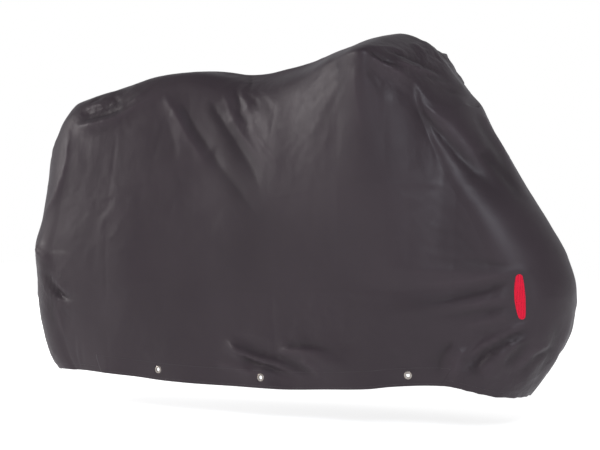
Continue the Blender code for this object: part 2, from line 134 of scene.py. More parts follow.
# %% A smooth curve through a table
def smooth_curve(knots, values, at):
    """A curve through the knots that never overshoots. The values may differ from point to point."""
    knots = np.asarray(knots, float)
    values = np.asarray(values, float)
    at = np.clip(np.asarray(at, float), knots[0], knots[-1])
    if values.ndim == 1:
        values = np.repeat(values[:, None], at.size, axis=1)
    steps = np.diff(knots)[:, None]
    slopes = np.diff(values, axis=0) / steps
    tangents = np.zeros_like(values)
    tangents[0], tangents[-1] = slopes[0], slopes[-1]
    low, high = slopes[:-1], slopes[1:]
    before, after = steps[:-1], steps[1:]
    rising = low * high > 0
    low_safe = np.where(rising, low, 1.0)
    high_safe = np.where(rising, high, 1.0)
    weights = (2 * after + before) / low_safe + (after + 2 * before) / high_safe
    tangents[1:-1] = np.where(rising, 3 * (before + after) / weights, 0.0)
    flat = at.ravel()
    cell = np.clip(np.searchsorted(knots, flat, side="right") - 1, 0, len(knots) - 2)
    point = np.arange(flat.size)
    step = steps[cell, 0]
    part = (flat - knots[cell]) / step
    rest = 1 - part
    found = (
        (1 + 2 * part) * rest**2 * values[cell, point]
        + part * rest**2 * step * tangents[cell, point]
        + part**2 * (3 - 2 * part) * values[cell + 1, point]
        - part**2 * rest * step * tangents[cell + 1, point]
    )
    return found.reshape(at.shape)


def column(table, names, name):
    return np.array([row[names.index(name)] for row in table], float)


# %% Widths, heights and ends of the cover
NOSE_LEAST = 0.022
REAR_NOSE_RATIO = 0.80
FRONT_NOSE_RATIO = 0.95


def rib_value(name, x):
    """A column of the ribs' table, at x."""
    return smooth_curve(column(RIBS, RIB_COLUMNS, "x"), column(RIBS, RIB_COLUMNS, name), x)


def rib_width(x, level):
    """Half width of the ribs at x, each at its own level."""
    names = ("crown_y", "shoulder_y", "waist_y", "skirt_y", "hem_y")
    x, level = np.atleast_1d(x), np.atleast_1d(level)
    return smooth_curve(LEVELS, [np.zeros(x.size)] + [rib_value(name, x) for name in names], level)


def rib_height(x, level):
    """Height of the ribs at x, each at its own level: it falls evenly from the shoulder to the hem."""
    x, level = np.atleast_1d(x), np.atleast_1d(level)
    ridge, hem = rib_value("ridge_z", x), rib_value("hem_z", x)
    shoulder = ridge - rib_value("shoulder_drop", x)
    heights = [ridge, ridge - rib_value("crown_drop", x)]
    heights += [shoulder + (hem - shoulder) * (at - SHOULDER) / (1 - SHOULDER) for at in LEVELS[2:]]
    return smooth_curve(LEVELS, heights, level)


def level_above_hem(x, height):
    """The level that lies this high above the hem of the rib at x."""
    shoulder = rib_value("ridge_z", x) - rib_value("shoulder_drop", x)
    return 1 - height * (1 - SHOULDER) / (shoulder - rib_value("hem_z", x))


def end_x(name, height):
    return smooth_curve(column(ENDS, END_COLUMNS, "z"), column(ENDS, END_COLUMNS, name), height)


def ring_ends(level):
    """x of the rear tip, both ends of the side's straight part and the front tip of the ring at a level."""
    rear_rib, front_rib = RIBS[0][0], RIBS[-1][0]
    rear = float(end_x("rear_x", rib_height(rear_rib, level))[0])
    front = float(end_x("front_x", rib_height(front_rib, level))[0])
    rear_nose = NOSE_LEAST + REAR_NOSE_RATIO * float(rib_width(rear_rib, level)[0])
    front_nose = NOSE_LEAST + FRONT_NOSE_RATIO * float(rib_width(front_rib, level)[0])
    return rear, rear + rear_nose, front - front_nose, front


print("widest half:", max(column(RIBS, RIB_COLUMNS, "shoulder_y")))

# %% [markdown]
# ## Rings of cloth
#
# The cloth could be drawn by hand as a low cage and subdivided, or it could be laid as a fine net from the
# start. Thin coated cloth has narrow creases, so a net whose cells are 5 to 7 mm wide is laid here: a stack
# of rings from the ridge line down to the hem. Each ring runs from the rear tip along the right side to the
# front tip, and back along the left side.

# %% Lay the net
SIDE_COLUMNS = 246
NOSE_COLUMNS = 16
CROWN_RINGS = 34
WALL_RINGS = 118
BAND_HEIGHT = 0.056
BAND_RINGS = 10
END_PULL = 4
RIDGE_ROUNDING = 0.016


def half_ring(level, at):
    """Points of one side of a ring. The level gives its ends, and at(x) its level from place to place."""
    rear, start, end, front = ring_ends(level)
    _, hem_start, hem_end, _ = ring_ends(1.0)
    turns = np.linspace(0, math.pi / 2, NOSE_COLUMNS + 1)[:-1]
    share = np.linspace(0, 1, SIDE_COLUMNS + 1)
    side = hem_start + (hem_end - hem_start) * share
    side += (start - hem_start) * (1 - share) ** END_PULL + (end - hem_end) * share**END_PULL
    rear_nose = rear + (start - rear) * (1 - np.cos(turns))
    front_nose = front - (front - end) * (1 - np.cos(turns))
    places = np.concatenate([rear_nose, side, front_nose[::-1]])
    rounding = np.concatenate([np.sin(turns), np.ones_like(side), np.sin(turns)[::-1]])
    width = rib_width(np.clip(places, start, end), at(places)) * rounding
    return np.stack([places, width, rib_height(places, at(places))], axis=1)


def wall_level(x, share):
    """The level at x of a ring that lies at this share of the way from the shoulder to the band."""
    return SHOULDER + (level_above_hem(x, BAND_HEIGHT) - SHOULDER) * share


def base_rings():
    """Rings of the smooth cover, as an array of ring, column and coordinate."""
    halves = []
    for level in np.linspace(0, SHOULDER, CROWN_RINGS + 1)[:-1]:
        halves.append(half_ring(level, lambda x, level=level: np.full(x.shape, level)))
    lowest = float(level_above_hem(np.array(0.0), BAND_HEIGHT))
    for share in np.linspace(0, 1, WALL_RINGS + 1)[:-1]:
        level = SHOULDER + (lowest - SHOULDER) * share
        halves.append(half_ring(level, lambda x, share=share: wall_level(x, share)))
    for above in np.linspace(BAND_HEIGHT, 0, BAND_RINGS + 1):
        level = float(level_above_hem(np.array(0.0), above))
        halves.append(half_ring(level, lambda x, above=above: level_above_hem(x, above)))
    rings = np.array([np.concatenate([half * (1, -1, 1), half[-2:0:-1]]) for half in halves])
    return round_the_ridge(rings)


def round_the_ridge(rings):
    """Where both sides meet in a roof, the cloth turns over in a small arc."""
    reach = np.abs(rings[..., 1])
    slope = (rings[0, :, 2] - rings[1, :, 2]) / np.maximum(reach[1], 1e-4)
    arc = slope * (reach**2 / (2 * RIDGE_ROUNDING) + RIDGE_ROUNDING / 2)
    rows = np.arange(len(rings))[:, None]
    near = (reach < RIDGE_ROUNDING) & (rows < CROWN_RINGS) & (reach[CROWN_RINGS] > RIDGE_ROUNDING)
    rings[..., 2] = np.where(near, rings[0, :, 2] - arc, rings[..., 2])
    return rings


def outward_normals(rings):
    """Unit normals of the net's points, pointing out of the cover."""
    along = np.roll(rings, -1, axis=1) - np.roll(rings, 1, axis=1)
    down = np.gradient(rings, axis=0)
    normals = np.cross(down, along)
    count = rings.shape[1]
    mirror = (-np.arange(count)) % count
    normals[0] = normals[1] + normals[1][mirror]
    return normals / np.linalg.norm(normals, axis=2, keepdims=True)


base = base_rings()
base_normals = outward_normals(base)
above_hem = base[..., 2] - rib_value("hem_z", base[..., 0])
print("net:", base.shape[0], "rings of", base.shape[1], "points")

# %% [markdown]
# ## Main folds
#
# The folds tell how the cloth hangs: it is pinched behind the saddle, pulled from the saddle's nose down to
# the middle, gathered under each handlebar grip and stretched round the front wheel. Each row is one fold,
# drawn as a bent line on a side of the cover, with its half width and its height. A ridge stands out and a
# trough goes in. A line on a side is given by x and z, on the top by x and y, and on an end by y and z.

# %% Table of the main folds
MAIN_FOLDS = (
    (RIGHT, 0.026, 0.012, (-0.74, 0.900), (-0.58, 0.930), (-0.42, 1.040)),
    (RIGHT, 0.032, -0.014, (-0.73, 0.940), (-0.62, 0.960), (-0.50, 1.010)),
    (RIGHT, 0.040, 0.010, (-0.75, 0.905), (-0.74, 0.750), (-0.88, 0.540)),
    (RIGHT, 0.026, 0.012, (-0.88, 0.520), (-0.83, 0.460), (-0.80, 0.410)),
    (RIGHT, 0.014, -0.007, (-0.82, 0.420), (-0.76, 0.362), (-0.66, 0.328)),
    (RIGHT, 0.034, 0.007, (-0.37, 1.000), (-0.28, 0.870), (-0.17, 0.740)),
    (RIGHT, 0.036, -0.006, (-0.30, 0.980), (-0.200, 0.830), (-0.10, 0.700)),
    (RIGHT, 0.060, -0.005, (-0.13, 1.020), (-0.01, 0.830), (0.13, 0.580)),
    (RIGHT, 0.050, 0.006, (-0.06, 1.010), (0.07, 0.820), (0.20, 0.600)),
    (RIGHT, 0.020, -0.012, (0.425, 1.095), (0.500, 1.045), (0.585, 1.015)),
    (RIGHT, 0.020, 0.012, (0.450, 1.075), (0.525, 1.030), (0.590, 0.995)),
    (RIGHT, 0.022, -0.013, (0.416, 1.070), (0.490, 1.005), (0.570, 0.965)),
    (RIGHT, 0.030, -0.015, (0.555, 0.930), (0.665, 0.790), (0.810, 0.630)),
    (RIGHT, 0.030, 0.004, (0.600, 0.950), (0.705, 0.820), (0.830, 0.670)),
    (RIGHT, 0.030, 0.007, (0.820, 0.470), (0.630, 0.465), (0.400, 0.470)),
    (RIGHT, 0.028, -0.012, (0.820, 0.450), (0.620, 0.415), (0.300, 0.405)),
    (RIGHT, 0.028, 0.009, (0.820, 0.430), (0.650, 0.375), (0.430, 0.330)),
    (RIGHT, 0.026, -0.016, (0.880, 0.325), (0.725, 0.260), (0.700, 0.150)),
    (RIGHT, 0.024, 0.014, (0.890, 0.290), (0.775, 0.220), (0.745, 0.120)),
    (RIGHT, 0.024, -0.010, (0.890, 0.245), (0.825, 0.190), (0.790, 0.120)),
    (RIGHT, 0.020, -0.017, (-0.060, 0.196), (0.030, 0.168), (0.130, 0.138), (0.200, 0.120)),
    (RIGHT, 0.020, 0.018, (-0.110, 0.240), (0.000, 0.196), (0.120, 0.166), (0.220, 0.134)),
    (RIGHT, 0.020, -0.012, (-0.070, 0.250), (0.040, 0.212), (0.140, 0.187), (0.220, 0.150)),
    (RIGHT, 0.030, 0.018, (0.080, 0.200), (0.180, 0.208), (0.300, 0.180), (0.380, 0.150)),
    (LEFT, 0.040, -0.014, (-0.34, 1.000), (-0.33, 0.780), (-0.40, 0.560)),
    (LEFT, 0.040, 0.012, (-0.25, 1.000), (-0.22, 0.780), (-0.28, 0.560)),
    (LEFT, 0.042, -0.016, (-0.10, 1.000), (0.04, 0.780), (0.16, 0.520)),
    (LEFT, 0.042, 0.010, (0.400, 1.080), (0.360, 0.850), (0.300, 0.600)),
    (LEFT, 0.036, -0.014, (0.500, 1.000), (0.640, 0.780), (0.820, 0.560)),
    (LEFT, 0.040, 0.012, (0.820, 0.460), (0.560, 0.400), (0.280, 0.420)),
    (LEFT, 0.040, -0.012, (-0.86, 0.480), (-0.640, 0.420), (-0.400, 0.430)),
    (LEFT, 0.036, 0.012, (-0.300, 0.300), (0.000, 0.230), (0.260, 0.140)),
)
print("main folds:", len(MAIN_FOLDS))

# %% [markdown]
# ## Fine creases
#
# Inside and beside the main folds the coated cloth breaks into narrower creases with a crisp crest. They
# are what the eye reads as thin fabric. The table holds the ones that matter: the side, the half width, the
# height, and the stops of a line that may bend several times. The far side has a few of its own. The others
# there are echoes: the wider creases of the near side, each moved, widened and made weaker or stronger by a
# little chance.

# %% Table of the fine creases
FINE_CREASES = (
    # hollow cap over the rear end of the rack
    (RIGHT, 0.008, 0.007, (-0.740, 0.905), (-0.655, 0.905), (-0.580, 0.920), (-0.505, 0.952),
     (-0.430, 0.992), (-0.370, 1.038)),
    (RIGHT, 0.012, -0.009, (-0.725, 0.925), (-0.655, 0.930), (-0.590, 0.945), (-0.515, 0.972),
     (-0.450, 1.012)),
    (RIGHT, 0.005, 0.005, (-0.560, 0.955), (-0.500, 0.980), (-0.445, 1.012)),
    (RIGHT, 0.007, 0.003, (-0.700, 0.955), (-0.660, 0.972), (-0.620, 0.975), (-0.600, 0.995)),
    (RIGHT, 0.008, -0.003, (-0.600, 1.005), (-0.572, 0.990), (-0.582, 0.975)),
    (RIGHT, 0.008, -0.003, (-0.690, 0.975), (-0.660, 0.988), (-0.630, 1.000)),
    # corner ridge of the rear end, and the dark crease under it
    (RIGHT, 0.008, 0.006, (-0.755, 0.925), (-0.740, 0.825), (-0.750, 0.740), (-0.787, 0.667),
     (-0.835, 0.615), (-0.872, 0.545)),
    (RIGHT, 0.008, 0.008, (-0.875, 0.515), (-0.826, 0.476), (-0.796, 0.435)),
    (RIGHT, 0.008, -0.005, (-0.850, 0.485), (-0.815, 0.450), (-0.797, 0.415)),
    (RIGHT, 0.006, -0.015, (-0.815, 0.432), (-0.795, 0.400), (-0.765, 0.370), (-0.730, 0.348),
     (-0.655, 0.332)),
    (RIGHT, 0.007, 0.004, (-0.790, 0.375), (-0.750, 0.340), (-0.712, 0.315)),
    (RIGHT, 0.007, 0.004, (-0.785, 0.414), (-0.750, 0.384), (-0.715, 0.365), (-0.680, 0.358)),
    (RIGHT, 0.011, -0.005, (-0.800, 0.370), (-0.785, 0.300), (-0.760, 0.215)),
    (RIGHT, 0.010, 0.004, (-0.765, 0.330), (-0.750, 0.270), (-0.725, 0.200)),
    # stripes behind the saddle
    (RIGHT, 0.010, 0.005, (-0.390, 1.005), (-0.363, 0.970), (-0.307, 0.905), (-0.229, 0.815),
     (-0.172, 0.753)),
    (RIGHT, 0.014, -0.006, (-0.330, 0.985), (-0.275, 0.917), (-0.208, 0.837), (-0.140, 0.750)),
    (RIGHT, 0.013, -0.002, (-0.370, 0.930), (-0.330, 0.850), (-0.300, 0.770)),
    # fall from the saddle's nose
    (RIGHT, 0.009, 0.004, (-0.173, 1.004), (-0.144, 0.966), (-0.115, 0.918), (-0.056, 0.853),
     (0.020, 0.774), (0.105, 0.690)),
    (RIGHT, 0.009, 0.004, (-0.060, 0.915), (-0.010, 0.860), (0.050, 0.800), (0.120, 0.730)),
    (RIGHT, 0.022, -0.009, (-0.225, 0.990), (-0.187, 0.944), (-0.136, 0.890), (-0.084, 0.838),
     (-0.016, 0.747), (0.050, 0.657)),
    (RIGHT, 0.020, -0.004, (-0.190, 0.830), (-0.160, 0.790), (-0.060, 0.690), (0.070, 0.570)),
    (RIGHT, 0.006, -0.005, (-0.142, 1.026), (-0.115, 0.993), (-0.097, 0.965), (-0.091, 0.937),
     (-0.059, 0.914), (-0.010, 0.913)),
    (RIGHT, 0.006, 0.003, (-0.112, 1.018), (-0.076, 0.973), (-0.052, 0.930)),
    (RIGHT, 0.006, -0.004, (-0.113, 1.057), (-0.085, 1.035), (-0.068, 1.005)),
    (RIGHT, 0.007, -0.003, (-0.085, 1.003), (-0.040, 0.975), (-0.015, 0.935)),
    (RIGHT, 0.007, 0.003, (-0.120, 0.955), (-0.105, 0.925), (-0.075, 0.895)),
    # near grip
    (RIGHT, 0.008, -0.011, (0.420, 1.106), (0.445, 1.092), (0.475, 1.074), (0.510, 1.046)),
    (RIGHT, 0.009, -0.007, (0.440, 1.110), (0.487, 1.093), (0.515, 1.075), (0.543, 1.053), (0.572, 1.038)),
    (RIGHT, 0.006, 0.010, (0.480, 1.080), (0.507, 1.063), (0.539, 1.045), (0.582, 1.027)),
    (RIGHT, 0.008, 0.010, (0.425, 1.093), (0.455, 1.072), (0.490, 1.046), (0.525, 1.018)),
    (RIGHT, 0.005, 0.007, (0.540, 1.022), (0.566, 1.016), (0.590, 1.010)),
    (RIGHT, 0.005, -0.006, (0.535, 1.030), (0.560, 1.024), (0.585, 1.018)),
    (RIGHT, 0.005, 0.006, (0.576, 1.032), (0.590, 1.016), (0.598, 0.998)),
    (RIGHT, 0.005, -0.007, (0.580, 0.996), (0.598, 0.989), (0.616, 0.987)),
    (RIGHT, 0.008, 0.004, (0.408, 1.114), (0.455, 1.114), (0.505, 1.093)),
    (RIGHT, 0.005, 0.004, (0.466, 1.139), (0.487, 1.123), (0.503, 1.104)),
    (RIGHT, 0.005, -0.003, (0.503, 1.112), (0.500, 1.100), (0.488, 1.108)),
    (RIGHT, 0.005, 0.004, (0.500, 1.113), (0.512, 1.095), (0.524, 1.075)),
    (RIGHT, 0.005, 0.003, (0.495, 1.128), (0.512, 1.108), (0.528, 1.092)),
    (RIGHT, 0.005, 0.006, (0.515, 1.094), (0.528, 1.085), (0.543, 1.073)),
    (RIGHT, 0.005, -0.003, (0.478, 1.136), (0.497, 1.122), (0.508, 1.117)),
    (RIGHT, 0.005, -0.003, (0.501, 1.115), (0.518, 1.094), (0.533, 1.077)),
    (RIGHT, 0.014, -0.003, (0.412, 1.068), (0.450, 1.000), (0.500, 0.930)),
    (RIGHT, 0.014, 0.003, (0.385, 1.070), (0.390, 0.960), (0.410, 0.840)),
    # front slope
    (RIGHT, 0.013, -0.009, (0.520, 0.970), (0.574, 0.898), (0.622, 0.846), (0.683, 0.779),
     (0.750, 0.708), (0.815, 0.620)),
    (RIGHT, 0.013, 0.006, (0.565, 0.950), (0.598, 0.916), (0.670, 0.829), (0.760, 0.725)),
    (RIGHT, 0.012, -0.009, (0.695, 0.820), (0.716, 0.795), (0.770, 0.727), (0.825, 0.650)),
    (RIGHT, 0.013, 0.004, (0.560, 0.880), (0.620, 0.810), (0.685, 0.735)),
    # lines drawn to the reflector
    (RIGHT, 0.009, -0.007, (0.832, 0.443), (0.780, 0.423), (0.720, 0.405), (0.618, 0.383), (0.490, 0.358)),
    (RIGHT, 0.010, 0.006, (0.828, 0.456), (0.765, 0.452), (0.698, 0.440), (0.590, 0.429), (0.430, 0.426)),
    (RIGHT, 0.010, 0.005, (0.828, 0.395), (0.765, 0.383), (0.704, 0.373), (0.490, 0.357)),
    (RIGHT, 0.009, -0.005, (0.828, 0.370), (0.732, 0.353), (0.550, 0.327)),
    (RIGHT, 0.009, 0.004, (0.827, 0.348), (0.760, 0.325), (0.650, 0.303)),
    (RIGHT, 0.012, -0.004, (0.827, 0.470), (0.740, 0.490), (0.590, 0.500)),
    # hooked fold under the front wheel
    (RIGHT, 0.008, 0.014, (0.880, 0.338), (0.812, 0.298), (0.757, 0.262), (0.714, 0.228), (0.700, 0.190)),
    (RIGHT, 0.011, -0.017, (0.878, 0.308), (0.814, 0.277), (0.757, 0.238), (0.718, 0.203), (0.724, 0.142)),
    (RIGHT, 0.010, -0.013, (0.862, 0.280), (0.829, 0.228), (0.795, 0.183)),
    (RIGHT, 0.007, 0.010, (0.848, 0.282), (0.802, 0.243), (0.766, 0.197)),
    (RIGHT, 0.007, 0.008, (0.780, 0.208), (0.755, 0.190), (0.748, 0.150)),
    (RIGHT, 0.007, 0.010, (0.912, 0.265), (0.860, 0.226), (0.798, 0.150)),
    (RIGHT, 0.008, -0.010, (0.912, 0.247), (0.874, 0.215), (0.812, 0.134)),
    (RIGHT, 0.010, 0.007, (0.700, 0.250), (0.660, 0.200), (0.665, 0.140)),
    (RIGHT, 0.010, -0.006, (0.660, 0.270), (0.620, 0.220), (0.615, 0.150)),
    # low in the middle
    (RIGHT, 0.007, 0.009, (-0.090, 0.230), (-0.048, 0.209), (-0.006, 0.193), (0.117, 0.164),
     (0.210, 0.134)),
    (RIGHT, 0.008, -0.011, (-0.042, 0.194), (0.011, 0.178), (0.086, 0.156), (0.192, 0.126)),
    (RIGHT, 0.008, -0.009, (-0.073, 0.238), (0.011, 0.210), (0.134, 0.181), (0.192, 0.162), (0.227, 0.141)),
    (RIGHT, 0.009, 0.007, (-0.136, 0.165), (-0.060, 0.152), (0.040, 0.143), (0.205, 0.122)),
    (RIGHT, 0.008, 0.009, (0.075, 0.201), (0.139, 0.217), (0.181, 0.220), (0.240, 0.213), (0.323, 0.197)),
    (RIGHT, 0.009, -0.009, (0.110, 0.225), (0.181, 0.236), (0.240, 0.230), (0.330, 0.210)),
    (RIGHT, 0.008, 0.008, (0.175, 0.196), (0.222, 0.166), (0.250, 0.134)),
    # over the top
    (TOP, 0.014, 0.005, (-0.300, 0.010), (-0.100, -0.020), (0.150, -0.075)),
    (TOP, 0.018, 0.007, (-0.080, 0.020), (0.150, 0.080), (0.360, 0.200)),
    (TOP, 0.018, 0.007, (-0.060, -0.020), (0.150, -0.090), (0.360, -0.210)),
    (TOP, 0.016, -0.006, (0.050, 0.000), (0.220, 0.030), (0.390, 0.090)),
    (TOP, 0.016, -0.006, (0.050, -0.010), (0.220, -0.040), (0.390, -0.110)),
    (TOP, 0.016, 0.007, (0.440, 0.220), (0.500, 0.120), (0.600, 0.050)),
    (TOP, 0.014, -0.006, (0.420, 0.120), (0.520, 0.060), (0.620, 0.020)),
    (TOP, 0.014, -0.005, (-0.740, 0.030), (-0.600, 0.010), (-0.460, 0.020)),
    # rear end
    (REAR, 0.018, 0.008, (-0.080, 0.900), (-0.050, 0.740), (-0.070, 0.560)),
    (REAR, 0.018, 0.008, (0.070, 0.900), (0.055, 0.760), (0.080, 0.580)),
    (REAR, 0.022, -0.009, (-0.010, 0.920), (0.010, 0.760), (-0.020, 0.600)),
    (REAR, 0.016, 0.006, (-0.100, 0.400), (-0.040, 0.260), (-0.060, 0.120)),
    (REAR, 0.016, -0.006, (0.090, 0.420), (0.050, 0.280), (0.060, 0.120)),
    (REAR, 0.014, 0.006, (0.000, 0.360), (0.010, 0.240), (0.000, 0.110)),
    # front end
    (FRONT, 0.020, 0.007, (0.040, 0.980), (0.020, 0.820), (0.050, 0.640)),
    (FRONT, 0.018, -0.006, (-0.030, 0.960), (-0.030, 0.820), (-0.060, 0.660)),
    (FRONT, 0.014, 0.006, (0.080, 0.420), (0.050, 0.280), (0.060, 0.120)),
    (FRONT, 0.013, -0.007, (-0.070, 0.330), (-0.040, 0.220), (-0.050, 0.110)),
    (FRONT, 0.015, 0.006, (0.010, 0.380), (0.000, 0.240), (0.010, 0.100)),
    # left side
    (LEFT, 0.012, 0.008, (-0.740, 0.900), (-0.640, 0.880), (-0.520, 0.930), (-0.400, 1.010)),
    (LEFT, 0.009, 0.008, (-0.755, 0.915), (-0.745, 0.800), (-0.780, 0.680), (-0.860, 0.560)),
    (LEFT, 0.013, -0.008, (-0.120, 0.990), (-0.020, 0.870), (0.090, 0.700), (0.160, 0.560)),
    (LEFT, 0.010, 0.008, (-0.060, 0.990), (0.040, 0.860), (0.150, 0.680)),
    (LEFT, 0.010, -0.007, (0.440, 1.080), (0.500, 1.000), (0.600, 0.880), (0.730, 0.740), (0.820, 0.600)),
    (LEFT, 0.009, 0.007, (0.420, 1.070), (0.430, 0.960), (0.470, 0.820)),
    (LEFT, 0.010, 0.008, (0.860, 0.360), (0.760, 0.270), (0.700, 0.160)),
    (LEFT, 0.011, -0.009, (0.870, 0.320), (0.790, 0.230), (0.745, 0.130)),
    (LEFT, 0.011, 0.007, (-0.200, 0.290), (-0.040, 0.230), (0.140, 0.170), (0.240, 0.120)),
    (LEFT, 0.011, -0.006, (-0.820, 0.420), (-0.700, 0.360), (-0.520, 0.340)),
)
print("fine creases:", len(FINE_CREASES))

# %% Echoes on the far side
ECHO_LEAST_WIDTH = 0.008
ECHO_SHIFT = 0.022
ECHO_WIDER = 1.2
ECHO_SHARE = (0.5, 1.1)
ECHO_SEED = 12
chance = np.random.default_rng(ECHO_SEED)
echoes = []
for face, width, height, *stops in FINE_CREASES:
    if face == RIGHT and width >= ECHO_LEAST_WIDTH:
        aside, lower = chance.uniform(-ECHO_SHIFT, ECHO_SHIFT), chance.uniform(-ECHO_SHIFT, 0)
        moved = [(x + aside, z + lower) for x, z in stops]
        echoes.append((LEFT, width * ECHO_WIDER, height * chance.uniform(*ECHO_SHARE), *moved))
print("echoes on the far side:", len(echoes))

# %% [markdown]
# ## Bundles of pull lines
#
# Where the cloth hangs from a corner or is held by a hem, it shows a bundle of nearly straight lines that
# spread from one point. Drawing each by hand would be slow and too regular, so a row here is a whole
# bundle: its point, the angles between which it spreads, how far the lines reach, how many there are, and
# how wide and high they are. A fixed seed scatters them, so that each run gives the same cloth.

# %% Table of the bundles
# side, point, from and to angle in degrees, near and far end, number of lines, half width, height
BUNDLES = (
    (RIGHT, 0.400, 1.110, -160, -110, 0.05, 0.40, 6, 0.013, 0.0030),
    (RIGHT, 0.420, 1.100, -100, -35, 0.04, 0.34, 7, 0.011, 0.0032),
    (RIGHT, -0.300, 1.060, -115, -50, 0.04, 0.44, 5, 0.014, 0.0022),
    (RIGHT, -0.110, 1.050, -80, -20, 0.03, 0.34, 4, 0.011, 0.0022),
    (RIGHT, -0.740, 0.910, -95, -50, 0.04, 0.36, 2, 0.015, 0.0018),
    (RIGHT, -0.740, 0.915, -10, 30, 0.03, 0.26, 4, 0.010, 0.0028),
    (RIGHT, 0.845, 0.458, 158, 215, 0.06, 0.50, 8, 0.010, 0.0024),
    (RIGHT, 0.900, 0.300, 175, 240, 0.05, 0.24, 5, 0.009, 0.0030),
    (RIGHT, -0.800, 0.385, -50, 40, 0.03, 0.20, 6, 0.009, 0.0030),
    (RIGHT, -0.900, 0.470, -25, 30, 0.04, 0.26, 4, 0.012, 0.0028),
    (RIGHT, 0.700, 0.160, 60, 150, 0.03, 0.16, 5, 0.009, 0.0028),
    (RIGHT, -0.335, 0.140, 30, 150, 0.03, 0.12, 4, 0.009, 0.0020),
    (RIGHT, 0.040, 0.140, 30, 150, 0.03, 0.14, 5, 0.009, 0.0022),
    (RIGHT, 0.520, 0.165, 30, 150, 0.03, 0.13, 5, 0.009, 0.0022),
    (LEFT, 0.400, 1.110, -150, -30, 0.05, 0.42, 12, 0.014, 0.0034),
    (LEFT, -0.300, 1.060, -125, -40, 0.04, 0.44, 10, 0.014, 0.0032),
    (LEFT, -0.740, 0.910, -95, -20, 0.04, 0.36, 7, 0.014, 0.0032),
    (LEFT, 0.850, 0.450, 150, 215, 0.06, 0.50, 8, 0.013, 0.0030),
    (LEFT, -0.880, 0.420, -35, 35, 0.04, 0.34, 6, 0.013, 0.0030),
    (LEFT, -0.335, 0.140, 30, 150, 0.03, 0.16, 5, 0.010, 0.0024),
    (LEFT, 0.040, 0.140, 30, 150, 0.03, 0.18, 5, 0.010, 0.0024),
    (LEFT, 0.520, 0.165, 30, 150, 0.03, 0.14, 5, 0.010, 0.0024),
    (TOP, 0.400, 0.270, 150, 235, 0.03, 0.26, 6, 0.013, 0.0030),
    (TOP, 0.400, -0.270, 125, 210, 0.03, 0.26, 6, 0.013, 0.0030),
)
print("bundles:", len(BUNDLES))

# %% The lines that the bundles give
# how far chance may change each line
PLACE_IN_SLOT = (0.15, 0.85)
BEND_DEGREES = 9
NEAR_SHARE = (0.6, 2.2)
FAR_SHARE = (0.45, 1.0)
WIDTH_SHARE = (0.75, 1.3)
HEIGHT_SHARE = (0.5, 1.15)
BUNDLE_SEED = 21


def bundle_lines():
    """The pull lines of all bundles, ridges and troughs in turn, as rows like those of the creases."""
    random = np.random.default_rng(BUNDLE_SEED)
    lines = []
    for face, u, v, start, end, near, far, count, width, height in BUNDLES:
        for number in range(count):
            turn = math.radians(start + (end - start) * (number + random.uniform(*PLACE_IN_SLOT)) / count)
            bend = turn + math.radians(random.uniform(-BEND_DEGREES, BEND_DEGREES))
            first = near * random.uniform(*NEAR_SHARE)
            last = far * random.uniform(*FAR_SHARE)
            line_width = width * random.uniform(*WIDTH_SHARE)
            sign = 1 if number % 2 else -1
            line_height = sign * height * random.uniform(*HEIGHT_SHARE)
            ways = ((first, turn), ((first + last) / 2, bend), (last, turn))
            stops = [(u + way * math.cos(angle), v + way * math.sin(angle)) for way, angle in ways]
            lines.append((face, line_width, line_height, *stops))
    return lines


PULL_LINES = bundle_lines()
print("pull lines:", len(PULL_LINES))

# %% [markdown]
# ## Press the folds into the net
#
# A fold moves the points near its line outwards or inwards, most of all on the line, and fades out at both
# ends. It starts narrow where the cloth is pinched and widens on its way. The main folds have nearly flat
# flanks, as stiff cloth between two creases does. The creases have a crisp crest with soft flanks. No real
# fold is straight, so the place where each point looks for its creases wanders by a few millimetres.
#
# A table gives only two of a stop's three numbers. The third is read off the cloth: the line is laid on the
# nearest points of the net, and how far a point lies from it is then measured in space. So a fold keeps its
# width where the cloth turns away.

# %% Uneven values
WAVES = 26
WAVE_SPREAD = (0.55, 1.5)


def soft_noise(points, size, seed):
    """Smooth uneven values around zero, whose lumps are about as large as size."""
    random = np.random.default_rng(seed)
    turns = random.normal(size=(WAVES, points.shape[-1]))
    turns /= np.linalg.norm(turns, axis=1, keepdims=True)
    turns *= 2 * math.pi / size * random.uniform(*WAVE_SPREAD, size=(WAVES, 1))
    phases = random.uniform(0, 2 * math.pi, size=WAVES)
    total = np.zeros(points.shape[:-1])
    for turn, phase in zip(turns, phases):
        total += np.sin(points @ turn + phase)
    return total / math.sqrt(WAVES / 2)


# %% Profiles of folds and creases
CREST_SOFTNESS = 0.12
CRISP_REACH = 1.1
CREST_ROUNDING = 0.15
ROOF_REACH = 2.1
ROOF_FOOT = 1.4


def rise(share):
    """From 0 to 1 with a soft start and a soft end."""
    share = np.clip(share, 0, 1)
    return share * share * (3 - 2 * share)


def round_profile(apart, width):
    return np.exp(-((apart / width) ** 2))


def crisp_profile(apart, width):
    """A crisp crest with soft flanks."""
    away = apart / (width * CRISP_REACH)
    return np.exp(CREST_SOFTNESS - np.sqrt(away**2 + CREST_SOFTNESS**2))


def roof_profile(apart, width):
    """Two nearly flat flanks that meet in a crest, and die away at the foot."""
    away = np.sqrt((apart / width) ** 2 + CREST_ROUNDING**2) - CREST_ROUNDING
    return np.clip(1 - away / ROOF_REACH, 0, 1) ** ROOF_FOOT


# %% Height that one line gives
RISE_SHARE = 0.25
FALL_SHARE = 0.45
START_WIDTH = 0.7
WIDTH_GAIN = 0.6


